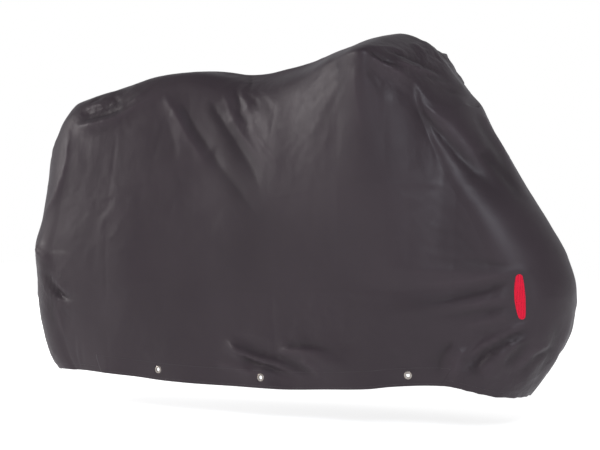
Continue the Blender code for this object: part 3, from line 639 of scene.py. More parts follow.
def bent_line(stops, parts=8):
    """Points along a smooth curve through all stops."""
    stops = np.array(stops, float)
    padded = np.concatenate([2 * stops[:1] - stops[1:2], stops, 2 * stops[-1:] - stops[-2:-1]])
    share = np.linspace(0, 1, parts + 1)[:-1, None]
    found = []
    for before, start, end, after in zip(padded, padded[1:], padded[2:], padded[3:]):
        bend = 2 * before - 5 * start + 4 * end - after
        turn = 3 * start - before - 3 * end + after
        found.append(start + share * ((end - before) + share * (bend + share * turn)) / 2)
    return np.concatenate(found + [stops[-1:]])


def line_height(stops, width, height, points, profile, reach):
    """How far one line, whose stops lie on the cloth, moves the points outwards."""
    far = width * reach
    low, high = stops.min(axis=0) - far, stops.max(axis=0) + far
    near = ((points > low) & (points < high)).all(axis=-1)
    total = np.zeros(points.shape[:2])
    at = points[near]
    nearest = np.full(len(at), np.inf)
    share = np.zeros(len(at))
    for number, (start, end) in enumerate(zip(stops, stops[1:])):
        run = end - start
        part = np.clip((at - start) @ run / (run @ run), 0, 1)
        apart = np.linalg.norm(at - start - part[:, None] * run, axis=1)
        closer = apart < nearest
        nearest = np.where(closer, apart, nearest)
        share = np.where(closer, (number + part) / (len(stops) - 1), share)
    taper = rise(share / RISE_SHARE) * rise((1 - share) / FALL_SHARE)
    total[near] = height * taper * profile(nearest, width * (START_WIDTH + WIDTH_GAIN * share))
    return total


# %% Heights that a table gives
FACE_AXES = {RIGHT: (0, 2), LEFT: (0, 2), TOP: (0, 1), REAR: (1, 2), FRONT: (1, 2)}
SIDE_FADE = 0.03
TOP_START = 0.35
END_START = 0.30
TURN_FADE = 0.4
LEAST_WEIGHT = 0.3
NEIGHBOURS = 6


def face_weights(points, normals):
    """How much each point belongs to the right and left sides, the top and both ends."""
    x, y = points[..., 0], points[..., 1]
    return {
        RIGHT: np.clip(-y / SIDE_FADE, 0, 1),
        LEFT: np.clip(y / SIDE_FADE, 0, 1),
        TOP: np.clip((normals[..., 2] - TOP_START) / TURN_FADE, 0, 1),
        REAR: np.clip((-normals[..., 0] - END_START) / TURN_FADE, 0, 1) * (x < 0),
        FRONT: np.clip((normals[..., 0] - END_START) / TURN_FADE, 0, 1) * (x > 0),
    }


def face_maps(points, weights):
    """For each side of the cover, its points in a tree that is searched by the two numbers of a stop."""
    maps = {}
    for face, (first, second) in FACE_AXES.items():
        found = points[weights[face] > LEAST_WEIGHT]
        tree = kdtree.KDTree(len(found))
        for number, point in enumerate(found):
            tree.insert((point[first], point[second], 0), number)
        tree.balance()
        maps[face] = (tree, found)
    return maps


def lay_on(face, line, maps):
    """The line's points in space: the missing number is the mean of the nearest points of the cloth."""
    tree, found = maps[face]
    laid = np.empty((len(line), 3))
    for number, (first, second) in enumerate(line):
        near = [index for _, index, _ in tree.find_n((first, second, 0), NEIGHBOURS)]
        laid[number] = found[near].mean(axis=0)
    laid[:, FACE_AXES[face]] = line
    return laid


def press(rows, points, weights, maps, profile, reach):
    """The sum of all lines of a table on the net."""
    total = np.zeros(points.shape[:2])
    for face, width, height, *stops in rows:
        line = lay_on(face, bent_line(stops), maps)
        total += weights[face] * line_height(line, width, height, points, profile, reach)
    return total


# %% Press the three tables in
WANDER = 0.002
WANDER_SIZE = 0.16
WANDER_SEED = 40
MAIN_SHARE = 0.75
PULL_SHARE = 0.5
MAIN_REACH = 3.2
FINE_REACH = 6.0
wandering = base.copy()
for axis in range(3):
    wandering[..., axis] += WANDER * soft_noise(base, WANDER_SIZE, WANDER_SEED + axis)
weights = face_weights(base, base_normals)
maps = face_maps(base, weights)
main_height = press(MAIN_FOLDS, base, weights, maps, roof_profile, MAIN_REACH) * MAIN_SHARE
fine_height = press((*FINE_CREASES, *echoes), wandering, weights, maps, crisp_profile, FINE_REACH)
pull_height = press(PULL_LINES, wandering, weights, maps, crisp_profile, FINE_REACH) * PULL_SHARE
for label, pressed in (("main folds", main_height), ("creases", fine_height), ("pull lines", pull_height)):
    print(label, "mm:", round(float(pressed.min() * 1000), 1), "to", round(float(pressed.max() * 1000), 1))

# %% [markdown]
# ## Swells, crinkles, packing creases and gathers
#
# Some quieter things are left. Cloth between folds is never flat, so it gets slow swells. Coated cloth that
# has been stuffed in a bag keeps a web of crinkles, which are strongest where it is bunched up. It was
# folded in its pack, so a few sharp creases stay, three upright and two level. The hem swings in and out in
# a slow wave, and at both ends it is gathered on an elastic. Last, the cloth is calmed at both ends of the
# ridge, where the rings of the net crowd together.

# %% Tables of the quieter relief
# x and z of the middle, radius, and how much the cloth is bunched up there
BUNCHED = (
    (0.500, 1.080, 0.090, 2.4),
    (-0.640, 0.955, 0.110, 1.3),
    (-0.080, 0.980, 0.120, 0.7),
    (-0.790, 0.370, 0.090, 1.5),
    (0.780, 0.200, 0.130, 1.8),
    (0.200, 0.200, 0.200, 0.6),
)
PACKING_PLACES = (-0.565, 0.055, 0.625)
PACKING_LEVELS = (0.400, 0.705)
# lump size and seed of an uneven value
SWELLS = (0.24, 15)
COARSE_WEB = (0.105, 7)
FINE_WEB = (0.050, 8)
PACKING_DRIFT = (0.60, 11)
GATHER_DRIFT = (0.20, 13)
# lump size, seed, mean and change of an uneven strength
CRINKLE_STRENGTH = (0.45, 9, 0.30, 0.30)
PACKING_STRENGTH = (0.25, 12, 0.70, 0.50)
GATHER_STRENGTH = (0.12, 14, 0.75, 0.45)


def strength(points, size, seed, mean, change):
    return mean + change * soft_noise(points, size, seed)


# %% Swells, crinkles and the hem's wave
SWELL_HEIGHT = 0.0010
SWELL_STRETCH = (1.0, 1.0, 0.6)
CRINKLE_HEIGHT = 0.0007
WEB_ROUNDING = 0.01
COARSE_SHARE = 1.1
FINE_SHARE = 0.55
FINE_LEVEL = 0.8
CRINKLE_LIMITS = (0.1, 3.2)
HEM_WAVE_LENGTH = 0.31
HEM_WAVE_HEIGHT = 0.006
HEM_WAVE_REACH = 0.22


def hem_wave(points, above):
    fade = np.clip(1 - above / HEM_WAVE_REACH, 0, 1) ** 2
    return HEM_WAVE_HEIGHT * np.sin(2 * math.pi * points[..., 0] / HEM_WAVE_LENGTH) * fade


def bunching(points):
    """How much the cloth is bunched up at each point."""
    amount = np.zeros(points.shape[:2])
    for x, z, radius, more in BUNCHED:
        amount += more * round_profile(np.hypot(points[..., 0] - x, points[..., 2] - z), radius)
    return amount


def beside_web(points, size, seed):
    """Smallest on the lines where an uneven value crosses zero."""
    return np.sqrt(soft_noise(points, size, seed) ** 2 + WEB_ROUNDING)


def crinkles(points):
    """A coarse and a fine web of crisp lines, strongest where the cloth is bunched up."""
    web = 1.0 - beside_web(points, *COARSE_WEB) * COARSE_SHARE
    web += FINE_SHARE * (FINE_LEVEL - beside_web(points, *FINE_WEB))
    amount = strength(points, *CRINKLE_STRENGTH) + bunching(points)
    return CRINKLE_HEIGHT * web * np.clip(amount, *CRINKLE_LIMITS)


def swells(points):
    return SWELL_HEIGHT * soft_noise(points * SWELL_STRETCH, *SWELLS)


# %% Packing creases
UPRIGHT_DEPTH = 0.0011
LEVEL_HEIGHT = 0.0009
PACKING_WIDTH = 0.006
UPRIGHT_LEAN = 0.05
LEAN_FROM = 1.0
DRIFT_WIDTH = 0.010
PACKING_LIMITS = (0.0, 1.2)


def packing(points):
    """Sharp, shallow creases that the folded cloth keeps from its pack."""
    x, z = points[..., 0], points[..., 2]
    total = np.zeros(points.shape[:2])
    drift = DRIFT_WIDTH * soft_noise(points, *PACKING_DRIFT)
    lean = UPRIGHT_LEAN * (LEAN_FROM - z)
    for place in PACKING_PLACES:
        total -= UPRIGHT_DEPTH * crisp_profile(x - place - lean - drift, PACKING_WIDTH)
    for level in PACKING_LEVELS:
        total += LEVEL_HEIGHT * crisp_profile(z - level - drift, PACKING_WIDTH)
    steep = 1 - np.clip(base_normals[..., 2], 0, 1)
    return total * steep * np.clip(strength(points, *PACKING_STRENGTH), *PACKING_LIMITS)


# %% Gathers at both ends of the hem
GATHER_HEIGHT = 0.0024
GATHER_PITCH = 0.031
SECOND_PITCH = 0.57
SECOND_HEIGHT = 0.35
GATHER_REACH = 0.085
GATHER_FALL = 1.3
GATHER_LIMITS = (0.1, 1.4)
# where the gathers begin, and over what length they grow
FRONT_GATHER_X, FRONT_GATHER_RUN = 0.56, 0.16
REAR_GATHER_X, REAR_GATHER_RUN = -0.62, 0.14


def hem_length(rings):
    """Length along the hem from the rear tip, for each column."""
    hem = rings[-1]
    steps = np.linalg.norm(np.roll(hem, -1, axis=0) - hem, axis=1)
    return np.concatenate([[0], np.cumsum(steps)[:-1]])


def gathers(points, above):
    """Short upright puckers where the hem is gathered."""
    x = points[..., 0]
    along = hem_length(points)[None, :] + DRIFT_WIDTH * soft_noise(points, *GATHER_DRIFT)
    wave = np.sin(2 * math.pi * along / GATHER_PITCH)
    wave += SECOND_HEIGHT * np.sin(2 * math.pi * along / (GATHER_PITCH * SECOND_PITCH) + 1)
    ends = np.clip((x - FRONT_GATHER_X) / FRONT_GATHER_RUN, 0, 1)
    ends += np.clip((REAR_GATHER_X - x) / REAR_GATHER_RUN, 0, 1)
    fade = np.exp(-((np.clip(above, 0, None) / GATHER_REACH) ** GATHER_FALL))
    uneven = np.clip(strength(points, *GATHER_STRENGTH), *GATHER_LIMITS)
    return GATHER_HEIGHT * wave * ends * fade * uneven


# %% All relief on the net
relief = main_height + fine_height + pull_height + hem_wave(base, above_hem)
relief += swells(base)
relief += crinkles(wandering) + packing(base) + gathers(base, above_hem)
other_side = (-np.arange(base.shape[1])) % base.shape[1]
relief[0] = (relief[1] + relief[1][other_side]) / 2
rings = base + base_normals * relief[..., None]
print("relief, mm:", round(float(relief.min() * 1000), 1), "to", round(float(relief.max() * 1000), 1))

# %% Calm both ends of the ridge
RIDGE_ENDS = ((-0.770, 0.0, 0.975), (0.600, 0.0, 1.015))
RIDGE_END_REACH = 0.050
CALM_STRENGTH = 1.4
CALM_ROUNDS = 60


def relax(points, weight, rounds):
    """Draws each point towards its four neighbours, by its weight. Both sides meet on the ridge."""
    for _ in range(rounds):
        above = np.concatenate([points[1:2][:, other_side], points[:-1]])
        below = np.concatenate([points[1:], points[-1:]])
        mean = (above + below + np.roll(points, 1, axis=1) + np.roll(points, -1, axis=1)) / 4
        points = points + (mean - points) * weight[..., None]
    return points


soften = np.zeros(base.shape[:2])
for end in RIDGE_ENDS:
    soften += round_profile(np.linalg.norm(base - np.array(end), axis=2), RIDGE_END_REACH)
soften[-1] = 0
rings = relax(rings, np.clip(soften * CALM_STRENGTH, 0, 1), CALM_ROUNDS)
print("points calmed:", int((soften > 0.01).sum()))

# %% [markdown]
# ## Flat places for the eyelets and the reflector
#
# A metal eyelet clamps the cloth between two rings, and a reflector film is stiffer than the cloth, so the
# cloth lies flat round the first and under the second. Their solids say where that is: the thin direction
# of each solid is the direction in which the cloth faces.

# %% Seats of the small parts
PLACES = ("rear", "middle", "front")
EYELET_PROUD = 0.0013
PATCH_LIFT = 0.0003


def solid_points(name):
    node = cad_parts[name]
    points = np.zeros(len(node.data.vertices) * 3)
    node.data.vertices.foreach_get("co", points)
    return np.unique(points.reshape(-1, 3).round(6), axis=0)


def seat_of(name, on_top):
    """Centre on the cloth's face, outward direction and longest direction of a small solid."""
    points = solid_points(name)
    low, high = points.min(axis=0), points.max(axis=0)
    centre = (low + high) / 2
    directions = np.linalg.svd(points - centre, full_matrices=False)[2]
    normal = directions[-1] * np.sign(directions[-1][1] * centre[1])
    heights = (points - centre) @ normal
    face = heights.max() - EYELET_PROUD if on_top else heights.min() - PATCH_LIFT
    longest = directions[0] * np.sign(directions[0][2])
    return centre + normal * face, normal, longest


eyelet_seats = {}
for side in SIDES:
    for place in PLACES:
        eyelet_seats[side, place] = seat_of(f"eyelet_{side}_{place}", True)
patch_seat = seat_of("reflector_patch", False)
for (side, place), (centre, normal, _) in eyelet_seats.items():
    print("eyelet", side, place, centre.round(4), normal.round(3))
print("reflector", patch_seat[0].round(4), patch_seat[1].round(3), patch_seat[2].round(3))

# %% Flatten the cloth there
EYELET_FLAT = 0.016
EYELET_FADE = 0.032
PATCH_FLAT = (0.019, 0.068)
PATCH_FADE = 0.026
PATCH_NEAR = 0.2
FAR_AWAY = 1.0


def flatten_to(points, centre, normal, weight):
    """Moves points towards the plane through the centre, each by its weight."""
    return points + ((centre - points) @ normal * weight)[..., None] * normal


rings = rings + TO_SOLIDS
for centre, normal, _ in eyelet_seats.values():
    apart = np.linalg.norm(rings - centre, axis=2)
    weight = np.clip((EYELET_FLAT + EYELET_FADE - apart) / EYELET_FADE, 0, 1)
    rings = flatten_to(rings, centre, normal, rise(weight))
centre, normal, longest = patch_seat
across = np.cross(longest, normal)
along_patch = np.abs((rings - centre) @ longest) - PATCH_FLAT[1]
across_patch = np.abs((rings - centre) @ across) - PATCH_FLAT[0]
apart = np.hypot(np.clip(along_patch, 0, None), np.clip(across_patch, 0, None))
apart = np.where(np.linalg.norm(rings - centre, axis=2) < PATCH_NEAR, apart, FAR_AWAY)
weight = np.clip(1 - apart / PATCH_FADE, 0, 1)
rings = flatten_to(rings, centre, normal, rise(weight))
normals = outward_normals(rings)
print("cloth from", rings.min(axis=(0, 1)).round(3), "to", rings.max(axis=(0, 1)).round(3))

# %% [markdown]
# ## The cloth's mesh
#
# The net becomes a mesh of one layer, because cloth two tenths of a millimetre thick has no body of its
# own. Where an edge shows, the real cloth is turned up and sewn down, and so is this one: at both ends the
# mesh goes round the hem's edge and twenty millimetres up again inside. Along the sides a separate band is
# folded round the edge, so there the cloth ends a little inside the band.

# %% Which part of the net is band
TOP_OF_BAND = len(rings) - 1 - BAND_RINGS
BAND_REAR_X = -0.56
BAND_FRONT_X = 0.62
HEM_LAYER = 0.0014
HEM_TURN_RINGS = 4
LEAST_SIDE_Y = 0.01
count = rings.shape[1]
half = count // 2


def band_columns(side):
    """First and last column of the band on a side."""
    hem_x, hem_y = base[-1, :, 0], base[-1, :, 1]
    outwards = hem_y if side == LEFT else -hem_y
    own = [col for col in range(count) if outwards[col] > LEAST_SIDE_Y]
    rear = min(own, key=lambda col: abs(hem_x[col] - BAND_REAR_X))
    front = min(own, key=lambda col: abs(hem_x[col] - BAND_FRONT_X))
    return min(rear, front), max(rear, front)


bands = {side: band_columns(side) for side in SIDES}
print("columns of the bands:", bands, "of", count)

# %% Measures along the cloth, for the weave
CREST_FULL = 0.0045
# from -1 at the bottom of a crease to 1 on a full crest; the finish lightens rubbed crests by it and paints
# shade into the bottoms of the creases
crest = np.clip((fine_height + pull_height) / CREST_FULL, -1, 1)


def lengths_along(points, middle):
    """Lengths along the rows of points, from the middle column."""
    steps = np.linalg.norm(np.diff(points, axis=1), axis=2)
    run = np.concatenate([np.zeros((len(points), 1)), np.cumsum(steps, axis=1)], axis=1)
    return run - run[:, middle:middle + 1]


right_half = rings[:, :half + 1]
left_half = np.concatenate([rings[:, half:], rings[:, :1]], axis=1)
along = {RIGHT: lengths_along(right_half, half // 2), LEFT: lengths_along(left_half, half // 2)}
down_steps = np.linalg.norm(np.diff(rings, axis=0), axis=2)
down = np.concatenate([np.zeros((1, count)), np.cumsum(down_steps, axis=0)])
print("ridge to hem, m:", round(float(down[-1].min()), 3), "to", round(float(down[-1].max()), 3))


# %% Build a mesh from a net
def point_values(mesh, name, values):
    """Keeps one value for each point of a mesh, for its finish to read."""
    kept = mesh.attributes.new(name, "FLOAT", "POINT")
    kept.data.foreach_set("value", values.astype(np.float32))


def net_mesh(name, points, quads, measures, values):
    """A mesh object of the quads, given by point numbers, with the measures (u, v) of their corners."""
    used = np.unique(np.array([point for quad in quads for point in quad]))
    number = {int(point): place for place, point in enumerate(used)}
    faces, uvs = [], []
    for quad, measure in zip(quads, measures):
        corners = [number[point] for point in quad]
        kept = [place for place, corner in enumerate(corners) if corner not in corners[:place]]
        faces.append([corners[place] for place in kept])
        uvs.extend(measure[place] for place in kept)
    mesh = bpy.data.meshes.new(name)
    mesh.from_pydata(points.reshape(-1, 3)[used].tolist(), [], faces)
    layer = mesh.uv_layers.new(name="cloth")
    layer.data.foreach_set("uv", np.array(uvs, np.float32).ravel())
    for label, given in values.items():
        point_values(mesh, label, given.ravel()[used])
    mesh.shade_smooth()
    mesh.validate()
    return add_to_scene(name, mesh)


def net_measure(row, start, col):
    """(u, v) of a corner of the net, for a quad that starts at the start column."""
    side = RIGHT if start < half else LEFT
    place = col if side == RIGHT else col - half
    return (float(along[side][row, place]), float(down[row, col % count]))


def cell_corners(row, col):
    return [(row, col + 1), (row, col), (row + 1, col), (row + 1, col + 1)]


def grid_quads(rows, first, last, number, ring, skip):
    """Quads of a grid. number(row, col) is a point's number, ring(row) the ring that a row follows."""
    quads, measures = [], []
    for row in range(rows):
        for col in range(first, last):
            if skip(row, col):
                continue
            corners = cell_corners(row, col)
            quads.append([number(*corner) for corner in corners])
            measures.append([net_measure(ring(own_row), col, own_col) for own_row, own_col in corners])
    return quads, measures


# %% The draped cloth
TURN_DROP = 0.0004
TUCK_DEPTH = 0.0005


def turned_rows(points, facing, turns):
    """Rows that follow the hem round its edge and up again inside, over a number of rings."""
    edge = points[-1] - facing[-1] * HEM_LAYER / 2
    edge[:, 2] -= TURN_DROP
    inside = [points[-1 - ring] - facing[-1 - ring] * HEM_LAYER for ring in range(turns + 1)]
    return np.array([edge] + inside)


def cloth_point(row, col):
    """A point's number. Both sides share the points of the ridge."""
    col = col % count
    return min(col, (-col) % count) if row == 0 else row * count + col


def cloth_ring(row):
    return min(row, len(rings) - 1)


def in_band(col):
    return any(first <= col < last for first, last in bands.values())


def under_band(row, col):
    return row >= TOP_OF_BAND and in_band(col)


turned = turned_rows(rings, normals, HEM_TURN_RINGS)
tuck = rings[TOP_OF_BAND + 1] - normals[TOP_OF_BAND + 1] * TUCK_DEPTH
cloth_points = np.concatenate([rings, turned, tuck[None]])
hidden = np.zeros((len(turned) + 1, count))
cloth_values = {
    "crest": np.concatenate([crest, hidden]),
    "bunched": np.concatenate([bunching(base), hidden]),
}
last_row = len(rings) + len(turned) - 1
quads, measures = grid_quads(last_row, 0, count, cloth_point, cloth_ring, under_band)
for col in filter(in_band, range(count)):
    top = [cloth_point(TOP_OF_BAND, col + 1), cloth_point(TOP_OF_BAND, col)]
    low = [cloth_point(last_row + 1, col), cloth_point(last_row + 1, col + 1)]
    quads.append(top + low)
    measures.append([net_measure(*corner) for corner in (
        (TOP_OF_BAND, col, col + 1),
        (TOP_OF_BAND, col, col),
        (TOP_OF_BAND + 1, col, col),
        (TOP_OF_BAND + 1, col, col + 1),
    )])
draped_cloth = net_mesh("draped_cloth", cloth_points, quads, measures, cloth_values)
print("draped cloth:", len(quads), "quads, most bunched:", round(float(cloth_values["bunched"].max()), 2))

# %% [markdown]
# ## Hem bands with their holes
#
# Eyelets tear out of a single thin layer, so a band of the same cloth is folded double round the edge on
# each side, and the holes are punched through both layers. The band's mesh goes down its outer face, round
# the edge and up its inner face. At each hole the cells inside the eyelet's rings are left out, and the
# points round them are moved onto a clean circle. The ends of the band are closed.

# %% Holes of the bands
HOLE_RADIUS = 0.0078
HOLE_CLEAR = 0.0072
HOLE_NEAR = 0.03
LEAST_APART = 1e-6


def from_hole(points, centre, normal):
    """Each point's way from a hole's middle, laid flat, its length, and whether the point is near."""
    away = points - centre
    flat = away - (away @ normal)[..., None] * normal
    return flat, np.linalg.norm(flat, axis=2), np.linalg.norm(away, axis=2) < HOLE_NEAR


def punched(points, seats):
    """Moves the points nearest to each hole's edge onto its circle. Also tells which lie in a hole."""
    inside = np.zeros(points.shape[:2], bool)
    for centre, normal, _ in seats:
        _, apart, near = from_hole(points, centre, normal)
        inside |= near & (apart < HOLE_CLEAR)
    # points outside a hole that have one of their eight neighbours in it
    round_hole = np.zeros_like(inside)
    round_hole[1:-1, 1:-1] = ~inside[1:-1, 1:-1] & (
        inside[:-2, 1:-1] | inside[2:, 1:-1] | inside[1:-1, :-2] | inside[1:-1, 2:]
        | inside[:-2, :-2] | inside[2:, 2:] | inside[:-2, 2:] | inside[2:, :-2]
    )
    for centre, normal, _ in seats:
        flat, apart, near = from_hole(points, centre, normal)
        moved = points + flat * (HOLE_RADIUS / np.maximum(apart, LEAST_APART) - 1)[..., None]
        points = np.where((round_hole & near)[..., None], moved, points)
    return points, inside


# %% Bands
BAND_PROUD = 0.00015
BAND_DROP = 0.0006


def open_sides(rows, first, last, skip):
    """The sides of a grid's cells that no other cell shares: its rim, and round its holes."""
    found = {}
    for row in range(rows):
        for col in range(first, last):
            if skip(row, col):
                continue
            corners = cell_corners(row, col)
            for start, end in zip(corners, corners[1:] + corners[:1]):
                if (end, start) in found:
                    del found[end, start]
                else:
                    found[start, end] = True
    return list(found)


def hem_band(side):
    """Outer face, edge and inner face of a band, and the walls between both layers."""
    first, last = bands[side]
    seats = [eyelet_seats[side, place] for place in PLACES]
    layer, facing = rings[TOP_OF_BAND:], normals[TOP_OF_BAND:]
    face, inside = punched(layer + facing * BAND_PROUD, seats)
    back, _ = punched(layer - facing * (HEM_LAYER - BAND_PROUD), seats)
    edge = (face[-1] + back[-1]) / 2
    edge[:, 2] -= BAND_DROP
    points = np.concatenate([face, edge[None], back[::-1]])
    gone = np.concatenate([inside, np.zeros_like(inside[-1:]), inside[::-1]])
    marks = np.concatenate([crest[TOP_OF_BAND:], crest[-1:], crest[TOP_OF_BAND:][::-1]])
    rows = len(face)

    def number(row, col):
        return row * count + col % count

    def ring(row):
        return TOP_OF_BAND + min(row, 2 * rows - row, rows - 1)

    def in_hole(row, col):
        return gone[row:row + 2, col:col + 2].any()

    quads, measures = grid_quads(len(points) - 1, first, last, number, ring, in_hole)
    # the upper side stays open against the cloth, and the lower one goes on round the edge
    for start, end in open_sides(rows - 1, first, last, in_hole):
        if start[0] == end[0] and start[0] in (0, rows - 1):
            continue
        behind = [(2 * rows - row, col) for row, col in (start, end)]
        quads.append([number(*corner) for corner in (end, start, *behind)])
        measures.append([net_measure(ring(start[0]), min(start[1], end[1]), start[1])] * 4)
    return net_mesh(f"hem_band_{side}", points, quads, measures, {"crest": marks})


hem_bands = {side: hem_band(side) for side in SIDES}
for side, made in hem_bands.items():
    print(made.name, len(made.data.polygons), "faces")

# %% [markdown]
# ## Stitching
#
# The turned-up hem and the bands are sewn down with a lockstitch in a thread a little lighter than the
# cloth. A dashed line in the material would vanish in a close view, so each stitch is a small pointed grain
# of thread with a dozen faces, laid along the cloth. Its lower half is sunk in, as a tight stitch is.

# %% Sew
STITCH_PITCH = 0.0044
STITCH_LENGTH = 0.0034
STITCH_WIDTH = 0.0007
STITCH_RISE = 0.00045
STITCH_SHOULDERS = (0.25, 0.75)
STITCH_POINTS = 10


def line_on_cloth(height, first, last, lift):
    """Points and facings along the hem, at a height above it, from one column to another."""
    ring = height / BAND_HEIGHT * BAND_RINGS
    low, part = int(ring), ring - int(ring)
    below, above = len(rings) - 1 - low, len(rings) - 2 - low
    cols = np.arange(first, last + 1) % count
    points = rings[below, cols] * (1 - part) + rings[above, cols] * part
    facing = normals[below, cols] * (1 - part) + normals[above, cols] * part
    facing /= np.linalg.norm(facing, axis=1, keepdims=True)
    return points + facing * lift, facing


def place_on(run, values, at):
    """What the values along a line are at one length of its run."""
    return np.array([np.interp(at, run, values[:, axis]) for axis in range(3)])


def stitch_row(points, facing):
    """Corner points and faces of the stitches along a line."""
    steps = np.linalg.norm(np.diff(points, axis=0), axis=1)
    run = np.concatenate([[0], np.cumsum(steps)])
    starts = np.arange(STITCH_PITCH, run[-1] - STITCH_PITCH, STITCH_PITCH)
    verts, faces = [], []
    for start in starts:
        near_end, far_end = place_on(run, points, start), place_on(run, points, start + STITCH_LENGTH)
        ahead = far_end - near_end
        out = place_on(run, facing, start)
        across = np.cross(ahead, out)
        across *= STITCH_WIDTH / 2 / np.linalg.norm(across)
        out *= STITCH_RISE
        number = len(verts)
        verts.append(near_end)
        for share in STITCH_SHOULDERS:
            middle = near_end + ahead * share
            verts.extend((middle + across, middle + out, middle - across, middle - out / 2))
        verts.append(far_end)
        for turn in range(4):
            one, two = number + 1 + turn, number + 1 + (turn + 1) % 4
            faces.append((number, two, one))
            faces.append((one, two, two + 4, one + 4))
            faces.append((number + STITCH_POINTS - 1, one + 4, two + 4))
    return verts, faces


def sew(name, lines):
    """One mesh object with the stitches of several lines."""
    verts, faces = [], []
    for points, facing in lines:
        more, own = stitch_row(points, facing)
        faces.extend(tuple(place + len(verts) for place in face) for face in own)
        verts.extend(more)
    mesh = bpy.data.meshes.new(name)
    mesh.from_pydata([tuple(vert) for vert in verts], [], faces)
    mesh.validate()
    mesh.shade_smooth()
    return add_to_scene(name, mesh)


# %% Seams along the hem and the bands
HEM_SEAM = 0.0175
BAND_SEAMS = (0.0065, 0.0525)
(right_first, right_last), (left_first, left_last) = bands[RIGHT], bands[LEFT]
hem_stitches = sew("hem_stitches", [
    line_on_cloth(HEM_SEAM, right_last, left_first, 0.0),
    line_on_cloth(HEM_SEAM, left_last, right_first + count, 0.0),
])
band_stitches = {}
for side, (first, last) in bands.items():
    rows = [line_on_cloth(height, first, last, BAND_PROUD) for height in BAND_SEAMS]
    band_stitches[side] = sew(f"band_stitches_{side}", rows)
for made in (hem_stitches, *band_stitches.values()):
    print(made.name, len(made.data.vertices) // STITCH_POINTS, "stitches")

# %% [markdown]
# ## Eyelets
#
# An eyelet is a short metal tube with a rolled flange, pressed through the hole and spread over a washer
# behind. Its profile could be spun at once, but it is easier to follow as it is made: a circle of the
# bore's size is extruded upwards, widened over the flange, curled down onto the cloth and closed
# underneath. One eyelet is modelled at zero and copied to the six seats, each copy with its own mesh.

# %% Draw one eyelet upwards from its bore
BORE_RADIUS = 0.00575
EYELET_SEGMENTS = 56
# radius and height of each step over the front flange, down the outside and back under the washer
EYELET_STEPS = (
    (0.00575, -0.00245), (0.00575, 0.00030), (0.00590, 0.00085), (0.00640, 0.00125), (0.00730, 0.00150),
    (0.00850, 0.00150), (0.00970, 0.00132), (0.01070, 0.00104), (0.01150, 0.00072), (0.01195, 0.00046),
    (0.01200, 0.00030), (0.01130, 0.00026), (0.00760, 0.00026), (0.00735, 0.00000), (0.00735, -0.00150),
    (0.00760, -0.00185), (0.01080, -0.00185), (0.01110, -0.00200), (0.01100, -0.00235), (0.01010, -0.00250),
    (0.00860, -0.00255), (0.00750, -0.00285), (0.00660, -0.00300), (0.00595, -0.00285),
)


def deselect_all():
    for thing in bpy.context.selected_objects:
        thing.select_set(False)


def start_editing(thing, kind):
    deselect_all()
    thing.select_set(True)
    bpy.context.view_layer.objects.active = thing
    bpy.ops.object.mode_set(mode="EDIT")
    bpy.ops.mesh.select_mode(type=kind)


def select_open_edges():
    bpy.ops.mesh.select_all(action="DESELECT")
    bpy.ops.mesh.select_non_manifold(extend=False)


def stop_editing():
    """Turns every face outwards and leaves the edit mode."""
    bpy.ops.mesh.select_all(action="SELECT")
    bpy.ops.mesh.normals_make_consistent(inside=False)
    bpy.ops.object.mode_set(mode="OBJECT")


deselect_all()
bpy.ops.mesh.primitive_circle_add(vertices=EYELET_SEGMENTS, radius=BORE_RADIUS, location=(0, 0, 0))
eyelet_pattern = bpy.context.object
eyelet_pattern.name = "eyelet_pattern"
start_editing(eyelet_pattern, "EDGE")
bpy.ops.mesh.select_all(action="SELECT")
bpy.ops.transform.translate(value=(0, 0, EYELET_STEPS[0][1]))
radius, height = EYELET_STEPS[0]
for next_radius, next_height in EYELET_STEPS[1:]:
    bpy.ops.mesh.extrude_region_move(TRANSFORM_OT_translate={"value": (0, 0, next_height - height)})
    grow = next_radius / radius
    bpy.ops.transform.resize(value=(grow, grow, 1), center_override=(0, 0, next_height))
    radius, height = next_radius, next_height
select_open_edges()
bpy.ops.mesh.bridge_edge_loops()
stop_editing()
eyelet_size = [round(size * 1000, 1) for size in eyelet_pattern.dimensions]
print("eyelet:", len(eyelet_pattern.data.polygons), "faces,", eyelet_size, "mm")

# %% Copy it to the six seats
EYELET_TURN = 0.7


def seat_matrix(centre, normal, up):
    """Local Z along the normal, and local Y as near to the up direction as that allows."""
    z_axis = Vector(normal).normalized()
    x_axis = Vector(up).cross(z_axis).normalized()
    y_axis = z_axis.cross(x_axis)
    turn = Matrix((x_axis, y_axis, z_axis)).transposed().to_4x4()
    return Matrix.Translation(Vector(centre)) @ turn


eyelet_rings = {}
for number, ((side, place), (centre, normal, _)) in enumerate(eyelet_seats.items()):
    mesh = eyelet_pattern.data.copy()
    turn = Matrix.Rotation(EYELET_TURN * number, 4, "Z")
    mesh.transform(seat_matrix(centre, normal, (0, 0, 1)) @ turn)
    mesh.shade_smooth()
    eyelet_rings[side, place] = add_to_scene(f"eyelet_ring_{side}_{place}", mesh)
bpy.data.objects.remove(eyelet_pattern, do_unlink=True)
print("eyelets:", len(eyelet_rings))

# %% [markdown]
# ## Red reflector
#
# The reflector is a long leaf of stiff retroreflective film that leans a little to the rear and bulges
# mostly to that side, welded to the cloth round its rim. A plate cut from its outline would look like
# paper, so a fine grid is shaped to the outline, thickened, given a rounded edge, and pressed down along a
# narrow welding line inside the rim.

